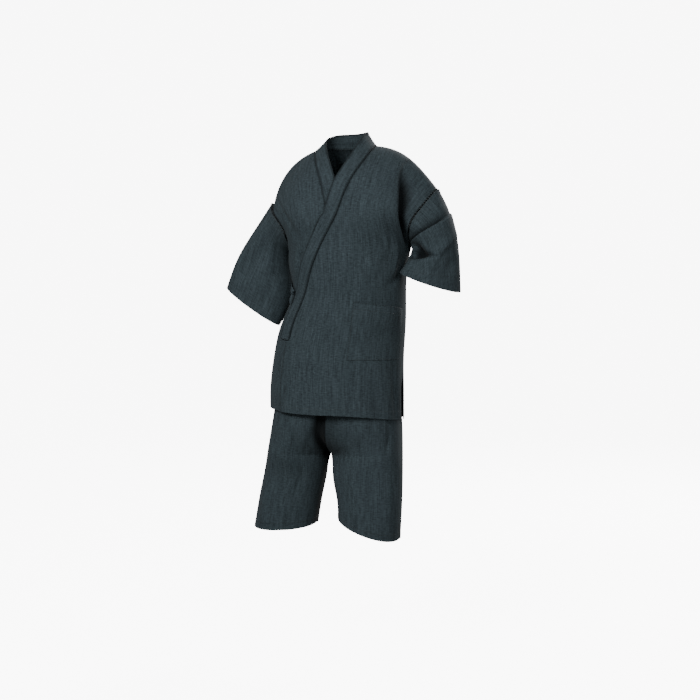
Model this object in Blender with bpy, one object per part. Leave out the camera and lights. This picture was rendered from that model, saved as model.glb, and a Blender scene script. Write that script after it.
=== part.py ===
"""A jinbei set in its worn, hollow shape: a wrap jacket with laced sleeves, and knee shorts.

Metres, Z up, the front faces -Y and +X is the wearer's left. The origin is the shoulder line at the neck.
Each cut piece is a thin wall. A surface is a function of (across, along), and a wall is a grid of it.
"""

import math

import bpy
import numpy as np

CLOTH = 0.0016  # wall of one layer of cloth
BAND = 0.0030  # wall of the folded collar band
SEAM = 0.0003  # gap between two pieces that are sewn together
LAYER = 0.0055  # how far the outer front lies over the under front
QUARTER = 0.26  # cloth from the centre of a panel to its side seam
LACE_GAP = 0.0052  # open gap between the body and a sleeve
LACE_STEP = 0.009  # from one rung of the lace to the next
THREAD = 0.0005  # radius of the lace thread
ROUND = 0.55  # how far a weft curve holds its direction, as a share of its reach

# Jacket rings below the armhole, hem first. Each row: where the front, left, right and back cross it in
# height, the middle across, how deep the side seams lie, left and right edge, front and back depth.
RINGS = (
    # front,  left,   right,  back,   mid,    seam,  left_x, right_x, front_y, back_y
    (-0.771, -0.790, -0.760, -0.775, -0.020, 0.005, 0.176, -0.216, -0.150, 0.148),
    (-0.700, -0.700, -0.694, -0.694, -0.020, 0.005, 0.176, -0.216, -0.150, 0.146),
    (-0.600, -0.600, -0.600, -0.600, -0.014, 0.005, 0.175, -0.205, -0.147, 0.140),
    (-0.500, -0.500, -0.500, -0.500, 0.000, 0.006, 0.181, -0.181, -0.142, 0.130),
    (-0.410, -0.410, -0.410, -0.412, 0.010, 0.008, 0.182, -0.150, -0.138, 0.130),
    (-0.335, -0.335, -0.345, -0.342, 0.008, 0.010, 0.186, -0.163, -0.137, 0.136),
    (-0.272, -0.277, -0.298, -0.280, 0.004, 0.014, 0.197, -0.166, -0.136, 0.140),
)

# Jacket sections above the armpit, from the front over the shoulder to the back. Each row: middle point,
# then for the left and the right armhole its point, how far the cloth turns back there, and its dip.
YOKE = (
    # mid,               left armhole,             turn, dip, right armhole,            turn, dip
    ((0.000, -0.134, -0.190), (0.214, -0.068, -0.215), 50, 35, (-0.169, -0.055, -0.226), 65, 40),
    ((0.000, -0.112, -0.100), (0.247, -0.040, -0.158), 15, 50, (-0.203, -0.030, -0.185), 20, 70),
    ((0.000, -0.060, -0.034), (0.265, -0.010, -0.128), 5, 52, (-0.214, 0.000, -0.163), 0, 78),
    ((0.000, 0.020, 0.012), (0.272, 0.022, -0.117), 0, 52, (-0.217, 0.026, -0.157), 0, 80),
    ((0.000, 0.078, 0.002), (0.268, 0.055, -0.130), -10, 50, (-0.214, 0.055, -0.168), -10, 78),
    ((0.000, 0.122, -0.090), (0.250, 0.088, -0.165), -25, 45, (-0.203, 0.088, -0.195), -35, 60),
    ((0.000, 0.140, -0.190), (0.222, 0.085, -0.225), -60, 25, (-0.178, 0.080, -0.240), -65, 30),
)
RIDGE = len(RINGS) + 3  # the section that runs along the shoulder
NAPE = RIDGE + 1  # the section that the back of the neck is cut to

# Where the collar is sewn to the outer front, as (section, across). The under front is its mirror image.
COLLAR_SEAM = (
    (2.45, -0.43),
    (3.0, -0.43),
    (4.0, -0.370),
    (5.0, -0.240),
    (6.0, -0.115),
    (7.0, 0.045),
    (8.0, 0.128),
    (9.0, 0.205),
    (10.0, 0.245),
)
STAND = 0.0026  # how far the standing collar starts above the cut edge, clear of its wall
COLLAR_WIDTH = ((2.45, 0.043), (5.0, 0.041), (7.0, 0.039), (8.5, 0.040), (10.0, 0.045))
FRONT_EDGE = -0.50  # free edge of the outer front below its collar
NECK_LEFT = 0.245
NECK_RIGHT = 0.285
SLIT_TOP = 1.65  # section at which the side slits start

# Standing part of the collar: from its seam to its free edge, at each station round the neck.
NECK = (
    # share of the neck, seam to free edge
    (0.00, (-0.034, -0.006, 0.036)),
    (0.25, (-0.014, -0.010, 0.044)),
    (0.50, (0.000, -0.010, 0.043)),
    (0.75, (0.020, -0.012, 0.036)),
    (1.00, (0.036, -0.010, 0.028)),
)

# Sleeve rings below the armhole. Each row: middle, then from it to the inner edge and to the front.
SLEEVE_LEFT = (
    # middle,                 to inner,                 to front
    (0.2590, 0.010, -0.243), (-0.055, -0.013, -0.047), (0.014, -0.078, -0.006),
    (0.269, 0.000, -0.308), (-0.066, -0.030, -0.006), (0.020, -0.062, -0.010),
    (0.264, -0.028, -0.385), (-0.074, -0.058, 0.025), (0.028, -0.038, -0.016),
)
SLEEVE_RIGHT = (
    (-0.224, 0.042, -0.266), (0.050, 0.020, -0.042), (0.010, -0.066, 0.000),
    (-0.253, 0.045, -0.362), (0.074, 0.015, -0.038), (0.012, -0.056, 0.000),
    (-0.288, 0.028, -0.458), (0.088, -0.003, -0.053), (0.010, -0.048, -0.008),
)

# Shorts, hem first. Each row: inner edge, seam depth there in front and behind, its height, outer edge,
# its depth and height, how far the cloth leads forward at the inner edge, how full the outer corner is,
# depth in front and behind, sag of the middle.
LEG_LEFT = (
    # in_x,  in_front, in_back, in_z,  out_x, out_y,  out_z,  lead, full, front, back, sag
    (-0.004, -0.030, -0.030, -1.078, 0.174, -0.030, -1.120, 90, 1.33, 0.090, 0.090, 0.016),
    (-0.006, -0.022, -0.022, -1.000, 0.178, -0.022, -1.010, 90, 1.33, 0.092, 0.092, 0.006),
    (-0.020, -0.012, -0.012, -0.930, 0.177, -0.012, -0.930, 88, 1.30, 0.094, 0.098, 0.0),
    (-0.0388, 0.002, 0.002, -0.880, 0.174, -0.005, -0.880, 66, 1.15, 0.114, 0.119, 0.0),
    (-0.0337, -0.078, 0.088, -0.846, 0.172, 0.000, -0.835, 26, 1.00, 0.108, 0.112, 0.0),
    (-0.024, -0.120, 0.124, -0.785, 0.169, 0.003, -0.775, 8, 0.80, 0.122, 0.116, 0.0),
    (-0.018, -0.128, 0.125, -0.700, 0.162, 0.005, -0.700, 0, 0.65, 0.130, 0.120, 0.0),
    (-0.014, -0.125, 0.118, -0.620, 0.156, 0.005, -0.620, 0, 0.58, 0.126, 0.114, 0.0),
    (-0.004, -0.112, 0.108, -0.546, 0.146, 0.005, -0.546, 0, 0.55, 0.112, 0.108, 0.0),
)
LEG_RIGHT = (
    (-0.092, 0.030, 0.030, -1.085, -0.275, 0.030, -1.106, 90, 1.33, 0.090, 0.090, 0.012),
    (-0.076, 0.025, 0.025, -1.000, -0.256, 0.025, -1.000, 90, 1.33, 0.092, 0.092, 0.0),
    (-0.060, 0.020, 0.020, -0.930, -0.242, 0.020, -0.930, 88, 1.30, 0.094, 0.097, 0.0),
    (-0.0412, 0.002, 0.002, -0.880, -0.231, 0.012, -0.880, 66, 1.15, 0.113, 0.118, 0.0),
    (-0.0343, -0.078, 0.088, -0.846, -0.221, 0.008, -0.835, 26, 1.00, 0.108, 0.112, 0.0),
    (-0.024, -0.120, 0.124, -0.785, -0.210, 0.005, -0.775, 8, 0.80, 0.122, 0.116, 0.0),
    (-0.018, -0.128, 0.125, -0.700, -0.200, 0.005, -0.700, 0, 0.65, 0.130, 0.120, 0.0),
    (-0.014, -0.125, 0.118, -0.620, -0.184, 0.005, -0.620, 0, 0.58, 0.126, 0.114, 0.0),
    (-0.004, -0.112, 0.108, -0.546, -0.154, 0.005, -0.546, 0, 0.55, 0.112, 0.108, 0.0),
)
LEG_GIRTH = 0.22  # cloth across one leg panel
SLEEVE_PROUD = 0.006  # how far the right sleeve's head stands off the body at the top
CROTCH = 3  # row of the shorts at which the legs meet

# Pocket on the outer front, as (section, across) of its corners.
POCKET_LOW = (1.93, 0.20)
POCKET_TOP = (3.66, 0.20)
POCKET_FAR = (3.42, 0.86)
POCKET_GAPE = 0.014  # how far its mouth stands open

# Side tie: where its strap lies over the under front, as (section, across).
STRAP = ((4.28, -0.965), (4.22, -0.87), (4.10, -0.76), (3.99, -0.665))
STRAP_WIDTH = 0.014
STRAP_THICK = 0.0018
KNOT_HALF = 0.0082  # half the length of the knot

# Folds of the jacket body. Each row: start and end as (across in metres of cloth, height), half width, rise.
JACKET_FOLDS = (
    # from,              to,               width, rise
    ((0.165, -0.060), (0.205, -0.270), 0.016, -0.012),
    ((0.118, -0.140), (0.125, -0.320), 0.022, -0.004),
    ((-0.135, -0.275), (-0.165, -0.400), 0.014, -0.006),
)


def spline(knots, values, at):
    """A cubic curve through the rows of values, with straight ends."""
    x = np.asarray(knots, float)
    y = np.asarray(values, float).reshape(len(x), -1)
    h = np.diff(x)
    matrix = np.eye(len(x))
    right = np.zeros_like(y)
    for i in range(1, len(x) - 1):
        matrix[i, i - 1 : i + 2] = h[i - 1], 2 * (h[i - 1] + h[i]), h[i]
        right[i] = 6 * ((y[i + 1] - y[i]) / h[i] - (y[i] - y[i - 1]) / h[i - 1])
    bend = np.linalg.solve(matrix, right)
    at = np.asarray(at, float)
    k = np.clip(np.searchsorted(x, at, side="right") - 1, 0, len(x) - 2)
    a = ((x[k + 1] - at) / h[k])[..., None]
    b = 1 - a
    s = (h[k] ** 2)[..., None] / 6
    return a * y[k] + b * y[k + 1] + s * ((a**3 - a) * bend[k] + (b**3 - b) * bend[k + 1])


def smooth(x):
    """Eases from 0 to 1."""
    x = np.clip(x, 0, 1)
    return x * x * (3 - 2 * x)


def bezier(points, b):
    """Points of cubic curves with control points (..., 4, 3)."""
    b = b[..., None]
    weights = ((1 - b) ** 3, 3 * b * (1 - b) ** 2, 3 * b * b * (1 - b), b**3)
    return sum(w * points[..., i, :] for i, w in enumerate(weights))


def body_rows():
    """Control points of the jacket's sections, front hem to back hem, for the left and the right half."""
    left, right = [], []
    for front, zl, zr, back, mid, seam, xl, xr, yf, yb in RINGS:
        for z, y, turn in ((front, yf, 90), (back, yb, -90)):
            left.append((z, y, turn, mid, (xl, seam, zl)))
            right.append((z, y, turn, mid, (xr, seam, zr)))
    rows = {"left": [], "right": []}
    for name, found, sign in (("left", left, 1), ("right", right, -1)):
        ring = [section((mid, y, z), end, turn, 0, sign) for z, y, turn, mid, end in found]
        first, last = ring[0::2], ring[1::2][::-1]
        yoke = []
        for mid, el, tl, dl, er, tr, dr in YOKE:
            end, turn, dip = (el, tl, dl) if sign > 0 else (er, tr, dr)
            yoke.append(section(mid, end, turn, dip, sign))
        rows[name] = np.array(first + yoke + last)
    return rows


def section(mid, end, turn, dip, sign):
    """Four control points from a middle point to an edge, where the cloth turns back and dips."""
    mid, end = np.array(mid), np.array(end)
    t, d = math.radians(turn), math.radians(dip)
    way = np.array((sign * math.cos(t) * math.cos(d), math.sin(t) * math.cos(d), -math.sin(d)))
    start = np.array((sign * ROUND * abs(end[0] - mid[0]), 0, 0))
    back = way * ROUND * max(abs(float(np.dot(end - mid, way))), 0.02)
    return mid, mid + start, end - back, end


BODY = body_rows()
FIRST = len(RINGS) - 1  # armpit section in front
LAST = FIRST + len(YOKE) + 1  # armpit section behind


def body_knots():
    """Distance along the cloth at each section, alike down both sides of the side seams."""
    gaps = []
    for i in range(len(BODY["left"]) - 1):
        ends = [np.linalg.norm(BODY[s][i + 1][3] - BODY[s][i][3]) for s in ("left", "right")]
        mids = np.linalg.norm(BODY["left"][i + 1][0] - BODY["left"][i][0])
        inside = FIRST <= i < LAST
        gaps.append((sum(ends) + mids) / 3 if inside else sum(ends) / 2)
    return np.concatenate([[0], np.cumsum(gaps)])


KNOTS = body_knots()


def at_section(i):
    """Distance along the cloth of a section, whole or between two."""
    return np.interp(i, np.arange(len(KNOTS)), KNOTS)


def split_spline(knots, values, at, breaks):
    """A spline with a corner at each of the breaks."""
    cuts = [0, *breaks, len(knots) - 1]
    out = np.zeros((*np.shape(at), values.shape[1]))
    for i, (a, b) in enumerate(zip(cuts, cuts[1:])):
        part = (at >= knots[a]) if i else np.ones(np.shape(at), bool)
        part &= (at < knots[b]) if i < len(cuts) - 2 else True
        out[part] = spline(knots[a : b + 1], values[a : b + 1], at[part])
    return out


def body(w, t):
    """The jacket's cloth. w runs from -1 at the right edge to 1 at the left, t from front to back hem."""
    w, t = np.broadcast_arrays(np.asarray(w, float), np.asarray(t, float))
    halves = []
    for name in ("left", "right"):
        rows = BODY[name]
        inner = spline(KNOTS, rows[:, :3].reshape(len(rows), 9), t).reshape(*t.shape, 3, 3)
        edge = split_spline(KNOTS, rows[:, 3], t, (FIRST, LAST))
        halves.append(bezier(np.concatenate([inner, edge[..., None, :]], -2), np.abs(w)))
    return np.where((w >= 0)[..., None], halves[0], halves[1])


def field(surface, u, v):
    """Points of a surface and its normals."""
    step = 1e-4
    du = surface(u + step, v) - surface(u - step, v)
    dv = surface(u, v + step) - surface(u, v - step)
    n = np.cross(du, dv)
    return surface(u, v), n / np.linalg.norm(n, axis=-1, keepdims=True)


def folds(table, q, z):
    """Rise of the cloth from a table of folds, each soft across and fading at its ends."""
    rise = np.zeros(np.shape(q))
    for (q0, z0), (q1, z1), width, depth in table:
        run = np.hypot(q1 - q0, z1 - z0)
        along = ((q - q0) * (q1 - q0) + (z - z0) * (z1 - z0)) / run**2
        across = ((q - q0) * (z1 - z0) - (z - z0) * (q1 - q0)) / run
        fade = smooth(0.5 + 2 * (1 - np.abs(2 * along - 1)))
        rise += depth * fade * np.exp(-((across / width) ** 2))
    return rise


def body_at(w, t, lift=0.0):
    """The jacket's cloth with its folds, moved out by lift."""
    p, n = field(body, w, t)
    front = 1 - smooth((t - KNOTS[RIDGE] + 0.03) / 0.03)
    rise = folds(JACKET_FOLDS, w * QUARTER, p[..., 2]) * front
    return p + n * (rise + lift)[..., None], n


def outer(w, t):
    """How far the outer front lies over the under front: none at its side seam and at the neck."""
    return LAYER * smooth((1 - w) / 0.42) * smooth((KNOTS[RIDGE] - t) / 0.13)


def make(name, verts, faces, shade):
    """A Blender object with a material of its own."""
    mesh = bpy.data.meshes.new(name)
    mesh.from_pydata([tuple(map(float, v)) for v in verts], [], faces)
    mesh.validate()
    mesh.update()
    ob = bpy.data.objects.new(name, mesh)
    bpy.context.scene.collection.objects.link(ob)
    material = bpy.data.materials.new(name)
    material.use_nodes = True
    shader = material.node_tree.nodes["Principled BSDF"]
    shader.inputs["Base Color"].default_value = (*shade, 1)
    shader.inputs["Roughness"].default_value = 0.85
    mesh.materials.append(material)
    return ob


def wall(name, points, normals, thick, shade, ring=False, flip=False):
    """A closed wall round a grid of points. A ring joins its last column to its first."""
    rows, cols = points.shape[:2]
    side = -1 if flip else 1
    out = points + normals * side * thick / 2
    inn = points - normals * side * thick / 2
    verts = np.concatenate([out.reshape(-1, 3), inn.reshape(-1, 3)])
    n = rows * cols
    faces = []

    def face(*corners):
        faces.append(tuple(corners[::-1]) if flip else tuple(corners))

    last = cols if ring else cols - 1
    for i in range(rows - 1):
        for j in range(last):
            a, b = i * cols + j, i * cols + (j + 1) % cols
            c, d = a + cols, b + cols
            face(a, b, d, c)
            face(a + n, c + n, d + n, b + n)
    for j in range(last):
        a, b = j, (j + 1) % cols
        c, d = a + (rows - 1) * cols, b + (rows - 1) * cols
        face(a, a + n, b + n, b)
        face(c, d, d + n, c + n)
    if not ring:
        for i in range(rows - 1):
            a, c = i * cols, (i + 1) * cols
            b, d = a + cols - 1, c + cols - 1
            face(a, c, c + n, a + n)
            face(b, b + n, d + n, d)
    return make(name, verts, faces, shade)


def panel_grid(rows, left, right, count, step=0.0):
    """Across and along values of a panel between two edges, a seam's half gap in from each. A step at
    the left edge moves only the columns beside it."""
    u = np.linspace(0, 1, count)[None, :]
    inset = SEAM / 2 / QUARTER
    a, b = (left + inset)[:, None], (right - inset)[:, None]
    return a + (b - a) * u + np.reshape(step, (-1, 1)) * (1 - u) ** 8, np.repeat(rows[:, None], count, 1)


def seam_rows(first, last, count):
    """Rows along the cloth between two sections, a seam's half gap in from each."""
    return np.linspace(at_section(first), at_section(last) - SEAM / 2, count)


def seam_line(t):
    """Across value of the collar seam of the outer front."""
    table = np.array(COLLAR_SEAM)
    return spline(at_section(table[:, 0]), table[:, 1:], t)[..., 0]


def neck_line(t):
    """Across value of the cut round the back of the neck, from 0 at the nape to 1 at the shoulder."""
    reach = KNOTS[NAPE] - KNOTS[RIDGE]
    return np.sqrt(np.clip(1 - ((t - KNOTS[RIDGE]) / reach) ** 2, 0, 1))


def widened(w, t):
    """Across value on the under front, whose neck point lies further out."""
    return w * (1 + (NECK_RIGHT / NECK_LEFT - 1) * smooth(1 - (KNOTS[RIDGE] - t) / 0.10))


def front_rows():
    """Rows of a front: below the collar, then along it."""
    low = np.linspace(0, at_section(COLLAR_SEAM[0][0]) - 0.004, 7)
    return np.concatenate([low, seam_rows(COLLAR_SEAM[0][0], RIDGE, 15)]), len(low)


def slit(t):
    """How much narrower a panel is beside its open side slit."""
    return 0.022 * smooth((at_section(SLIT_TOP) - t) / 0.10)


def build_fronts(shade):
    rows, low = front_rows()
    below = np.arange(len(rows)) < low
    edge = np.where(below, COLLAR_SEAM[0][1], seam_line(rows))
    step = np.where(below, FRONT_EDGE - COLLAR_SEAM[0][1], 0)
    side = 1 - slit(rows)
    w, t = panel_grid(rows, edge, side, 15, step)
    p, n = body_at(w, t, outer(w, t))
    wall("left_front", p, n, CLOTH, shade)
    w, t = panel_grid(rows, widened(edge, rows), side, 15, step)
    w, t = -w[:, ::-1], t
    p, n = body_at(w, t, 0 * w)
    wall("right_front", p, n, CLOTH, shade)


def back_rows():
    """Rows of a back panel: round the neck cut, then down to the hem."""
    turn = np.linspace(0, math.pi / 2, 6)
    reach = KNOTS[NAPE] - KNOTS[RIDGE]
    neck = KNOTS[RIDGE] + SEAM / 2 + (reach - SEAM / 2) * np.sin(turn)
    return np.concatenate([neck, np.linspace(KNOTS[NAPE], KNOTS[-1], 17)[1:]])


def build_backs(shade):
    rows = back_rows()
    inner = neck_line(rows)
    side = 1 - 0.5 * slit(KNOTS[-1] - rows)
    w, t = panel_grid(rows, inner * NECK_LEFT, side, 10)
    p, n = body_at(w, t)
    wall("back_left", p, n, CLOTH, shade)
    w, t = panel_grid(rows, -side, -inner * NECK_RIGHT, 10)
    p, n = body_at(w, t)
    wall("back_right", p, n, CLOTH, shade)


def collar_half(sign, share):
    """Half of the collar, from a front's lower end to the neck: lying on the body, then standing up."""
    t = np.linspace(at_section(COLLAR_SEAM[0][0]) + 0.001, KNOTS[RIDGE] - SEAM, 26)
    line = seam_line(t) - 4 * SEAM / QUARTER
    w = line if sign > 0 else -widened(line, t)
    widths = np.array(COLLAR_WIDTH)
    wide = spline(at_section(widths[:, 0]), widths[:, 1:], t)
    thicker = (BAND - CLOTH) / 2

    def lying(across, along):
        lift = outer(across, along) if sign > 0 else 0 * along
        return body_at(across, along, lift + thicker)

    p, n = lying(w, t)
    run = np.gradient(p, axis=0)
    run /= np.linalg.norm(run, axis=1, keepdims=True)
    way = np.cross(n, run) * sign
    step = 1e-4
    du = (body(w + step, t) - body(w - step, t)) / (2 * step)
    dv = (body(w, t + step) - body(w, t - step)) / (2 * step)
    uu, vv, uv = (np.sum(a * b, axis=1) for a, b in ((du, du), (dv, dv), (du, dv)))
    wu, wv = np.sum(way * du, axis=1), np.sum(way * dv, axis=1)
    size = wide[:, 0] / (uu * vv - uv**2)
    across, along = (wu * vv - wv * uv) * size, (wv * uu - wu * uv) * size
    flat = np.stack([lying(w + across * s, t + along * s)[0] for s in share], 1)
    near = smooth(1 - (KNOTS[RIDGE] - t) / 0.12)[:, None]
    stand = np.array(NECK[0 if sign > 0 else -1][1])
    mixed = way * (1 - near) + stand / np.linalg.norm(stand) * near
    mixed /= np.linalg.norm(mixed, axis=1, keepdims=True)
    upright = p[:, None] + mixed[:, None] * (wide * share[None, :] + STAND * near)[..., None]
    return flat * (1 - near[..., None]) + upright * near[..., None]


def collar_nape(share):
    """The collar's standing part round the back of the neck."""
    turn = np.linspace(-1, 1, 13)[1:-1]
    reach = KNOTS[NAPE] - KNOTS[RIDGE]
    along = KNOTS[RIDGE] + reach * np.cos(turn * math.pi / 2)
    size = np.where(turn < 0, NECK_LEFT, NECK_RIGHT)
    p, _ = body_at(-np.sin(turn * math.pi / 2) * size, along - SEAM / 2)
    stand = spline([row[0] for row in NECK], [row[1] for row in NECK], (turn + 1) / 2)
    stand /= np.linalg.norm(stand, axis=1, keepdims=True)
    wide = COLLAR_WIDTH[-1][1]
    return p[:, None] + stand[:, None] * (wide * share + STAND)[None, :, None]


def build_collar(shade):
    share = np.linspace(0, 1, 4)
    halves = [collar_half(sign, share) for sign in (1, -1)]
    grid = np.concatenate([halves[0], collar_nape(share), halves[1][::-1]])
    du = np.gradient(grid, axis=1)
    dv = np.gradient(grid, axis=0)
    n = np.cross(du, dv)
    n /= np.linalg.norm(n, axis=-1, keepdims=True)
    wall("collar", grid, n, BAND, shade)


def build_pocket(shade):
    u, v = np.meshgrid(np.linspace(0, 1, 10), np.linspace(0, 1, 9))
    low = at_section(POCKET_LOW[0])
    top = at_section(POCKET_TOP[0]) + (at_section(POCKET_FAR[0]) - at_section(POCKET_TOP[0])) * u
    w = POCKET_LOW[1] + (POCKET_FAR[1] - POCKET_LOW[1]) * u
    t = low + (top - low) * v
    gape = POCKET_GAPE * np.sin(math.pi * u) ** 0.8 * smooth((v - 0.35) / 0.65)
    p, n = body_at(w, t, outer(w, t) + CLOTH + 3 * SEAM + gape)
    wall("pocket", p, n, CLOTH, shade)


def ribbon(name, mids, normals, width, thick, shade):
    """A flat strip along its middle points."""
    run = np.gradient(mids, axis=0)
    run /= np.linalg.norm(run, axis=1, keepdims=True)
    across = np.cross(normals, run)
    across /= np.linalg.norm(across, axis=1, keepdims=True)
    share = np.linspace(-0.5, 0.5, 3)
    grid = mids[:, None] + across[:, None] * (share * width)[None, :, None]
    n = np.cross(across, run)
    n /= np.linalg.norm(n, axis=1, keepdims=True)
    wall(name, grid, np.repeat(n[:, None], 3, 1), thick, shade)


def build_ties(shade):
    table = np.array(STRAP)
    share = np.linspace(0, 1, 9)
    line = spline(np.linspace(0, 1, len(table)), table, share)
    rise = 0.0032 + 0.0065 * smooth(share)
    p, n = body_at(line[:, 1], at_section(line[:, 0]), rise)
    ribbon("tie_strap", p, n, STRAP_WIDTH, STRAP_THICK, shade)
    end, way = p[-1], p[-1] - p[-2]
    way /= np.linalg.norm(way)
    out = n[-1]
    side = np.cross(out, way)
    mid = end + way * 0.0077 + out * 0.0008
    knot(mid, way, out, side, shade)
    hang(mid - side * np.sign(side[2]) * (KNOT_HALF + 0.0005), out, shade)


def knot(mid, way, out, side, shade):
    """The tie's knot: a short roll of cloth, waisted where the strap is drawn through it."""
    around = np.linspace(0, 2 * math.pi, 16, endpoint=False)
    along = np.linspace(-1, 1, 7)
    grid = np.zeros((7, 16, 3))
    for i, a in enumerate(along):
        size = 0.0052 * (1 - 0.18 * math.cos(math.pi * a)) * math.sqrt(1.08 - a * a)
        lean = 0.0015 * math.sin(2.2 * a)
        ring = np.cos(around)[:, None] * way * (size * 1.25) + np.sin(around)[:, None] * out * size
        grid[i] = mid + side * (a * KNOT_HALF) + way * lean + ring
    n = ring_normals(grid)
    if np.sum(n * (grid - mid)) < 0:
        grid = grid[:, ::-1]
        n = ring_normals(grid)
    rows, cols = grid.shape[:2]
    verts = np.concatenate([grid.reshape(-1, 3), grid[0].mean(0)[None], grid[-1].mean(0)[None]])
    faces = []
    for i in range(rows - 1):
        for j in range(cols):
            a, b = i * cols + j, i * cols + (j + 1) % cols
            faces.append((a, b, b + cols, a + cols))
    for j in range(cols):
        k = (j + 1) % cols
        faces.append((rows * cols, k, j))
        faces.append((rows * cols + 1, (rows - 1) * cols + j, (rows - 1) * cols + k))
    make("tie_knot", verts, faces, shade)


def hang(start, out, shade):
    """The tie's short end below the knot."""
    share = np.linspace(0, 1, 6)
    drop = np.zeros((6, 3))
    drop[:, 2] = -0.026 * share
    sway = np.array((-0.006, 0.002, 0.0))
    mids = start + drop + sway * share[:, None] + out * 0.002 * np.sin(math.pi * share)[:, None]
    ribbon("tie_end", mids, np.repeat(out[None], 6, 0), 0.011, STRAP_THICK, shade)


def armhole(sign, count):
    """Points of an armhole's edge from the armpit up the front and down the back."""
    share = np.linspace(0, 1, count, endpoint=False)
    t = KNOTS[FIRST] + (KNOTS[LAST] - KNOTS[FIRST]) * share
    dense = np.linspace(KNOTS[FIRST], KNOTS[LAST], 400)
    edge = body(np.full(400, float(sign)), dense)
    run = np.concatenate([[0], np.cumsum(np.linalg.norm(np.diff(edge, axis=0), axis=1))])
    t = np.interp(share * run[-1], run, dense)
    p, _ = body_at(np.full(count, float(sign)), t)
    return p


def sleeve_rings(sign, count):
    """Rings of a sleeve from its armhole to its cuff."""
    table = SLEEVE_LEFT if sign > 0 else SLEEVE_RIGHT
    rings = [armhole(sign, count)]
    angle = np.linspace(0, 2 * math.pi, count, endpoint=False)[:, None]
    for mid, inner, front in zip(table[0::3], table[1::3], table[2::3]):
        rings.append(np.array(mid) + np.cos(angle) * np.array(inner) + np.sin(angle) * np.array(front))
    return rings


def sleeve_gap(count):
    """Gap to the body round the armhole: open for the lace, folded close under the arm."""
    share = np.arange(count) / count
    under = np.minimum(share, 1 - share)
    closed = CLOTH + 3 * SEAM
    return closed + (LACE_GAP - closed) * smooth((under - 0.09) / 0.05)


def outward(ring):
    """Unit normal of the plane that a ring of points lies nearest to, away from the body."""
    n = np.sum(np.cross(ring, np.roll(ring, -1, 0)), axis=0)
    n /= np.linalg.norm(n)
    return n if n[0] * ring[0, 0] > 0 else -n


def sleeve_grid(sign, cols, rows):
    """Points of a sleeve, from its gap at the armhole to its cuff."""
    rings = np.array(sleeve_rings(sign, cols))
    away = outward(rings[0])
    rings[0] += away * sleeve_gap(cols)[:, None]
    if sign < 0:
        top = (1 - np.cos(np.arange(cols) / cols * 2 * math.pi)) / 2
        spread = rings[0] - rings[0].mean(0)
        spread /= np.linalg.norm(spread, axis=1, keepdims=True)
        rings[0] += spread * (SLEEVE_PROUD * top**2)[:, None]
    grid = np.zeros((rows, cols, 3))
    for j in range(cols):
        steps = np.linalg.norm(np.diff(rings[:, j], axis=0), axis=1)
        knots = np.concatenate([[0], np.cumsum(steps)])
        grid[:, j] = spline(knots, rings[:, j], np.linspace(0, knots[-1], rows))
    return grid


def build_laces(shade):
    """The thread that bridges each open armhole seam: across, along, back across, and so on."""
    clear = CLOTH / 2 + THREAD + SEAM
    for name, sign in (("lace_left", 1), ("lace_right", -1)):
        cols = 400
        grid = sleeve_grid(sign, cols, 30)
        body_edge = armhole(sign, cols)
        gap = grid[0] - body_edge
        share = np.arange(cols) / cols
        open_at = np.nonzero(np.minimum(share, 1 - share) > 0.17)[0]
        line = body_edge[open_at]
        run = np.concatenate([[0], np.cumsum(np.linalg.norm(np.diff(line, axis=0), axis=1))])
        count = int(run[-1] / LACE_STEP)
        marks = np.interp((np.arange(count) + 0.5) * run[-1] / count, run, open_at).round().astype(int)
        points, normals = [], []
        for i, m in enumerate(marks):
            way = gap[m] / np.linalg.norm(gap[m])
            near, far = body_edge[m] + way * clear, grid[0, m] - way * (clear + SEAM)
            tangent = body_edge[(m + 1) % cols] - body_edge[m - 1]
            n = np.cross(way, tangent)
            n /= np.linalg.norm(n)
            pair = (near, far) if i % 2 == 0 else (far, near)
            points.extend(pair)
            normals.extend((n, n))
        thread(name, np.array(points), np.array(normals), shade)


def thread(name, points, normals, shade):
    """A square-sided thread along its points, mitred at the corners."""
    ways = np.diff(points, axis=0)
    ways /= np.linalg.norm(ways, axis=1, keepdims=True)
    before = np.concatenate([ways[:1], ways])
    after = np.concatenate([ways, ways[-1:]])
    mean = before + after
    mean /= np.linalg.norm(mean, axis=1, keepdims=True)
    side = np.cross(normals, mean)
    side /= np.linalg.norm(side, axis=1, keepdims=True)
    wide = 1 / np.clip(np.sum(mean * after, axis=1), 0.5, 1)
    up = np.cross(mean, side)
    verts, faces = [], []
    for p, s, u, k in zip(points, side, up, wide):
        s, u = s * THREAD * k, u * THREAD
        verts += [p + s + u, p - s + u, p - s - u, p + s - u]
    count = len(points)
    for i in range(count - 1):
        for j in range(4):
            a, b = 4 * i + j, 4 * i + (j + 1) % 4
            faces.append((a, b, b + 4, a + 4))
    faces.append((3, 2, 1, 0))
    last = 4 * (count - 1)
    faces.append((last, last + 1, last + 2, last + 3))
    make(name, verts, faces, shade)


def ring_normals(grid):
    """Normals of a tube whose columns run round it."""
    du = np.roll(grid, -1, 1) - np.roll(grid, 1, 1)
    dv = np.gradient(grid, axis=0)
    n = np.cross(du, dv)
    return n / np.linalg.norm(n, axis=-1, keepdims=True)


def build_sleeves(shade):
    for name, sign in (("sleeve_left", 1), ("sleeve_right", -1)):
        grid = sleeve_grid(sign, 32, 11)
        n = ring_normals(grid)
        flip = np.sum(n * (grid - grid.mean(1, keepdims=True))) < 0
        wall(name, grid, n, CLOTH, shade, ring=True, flip=bool(flip))


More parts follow.
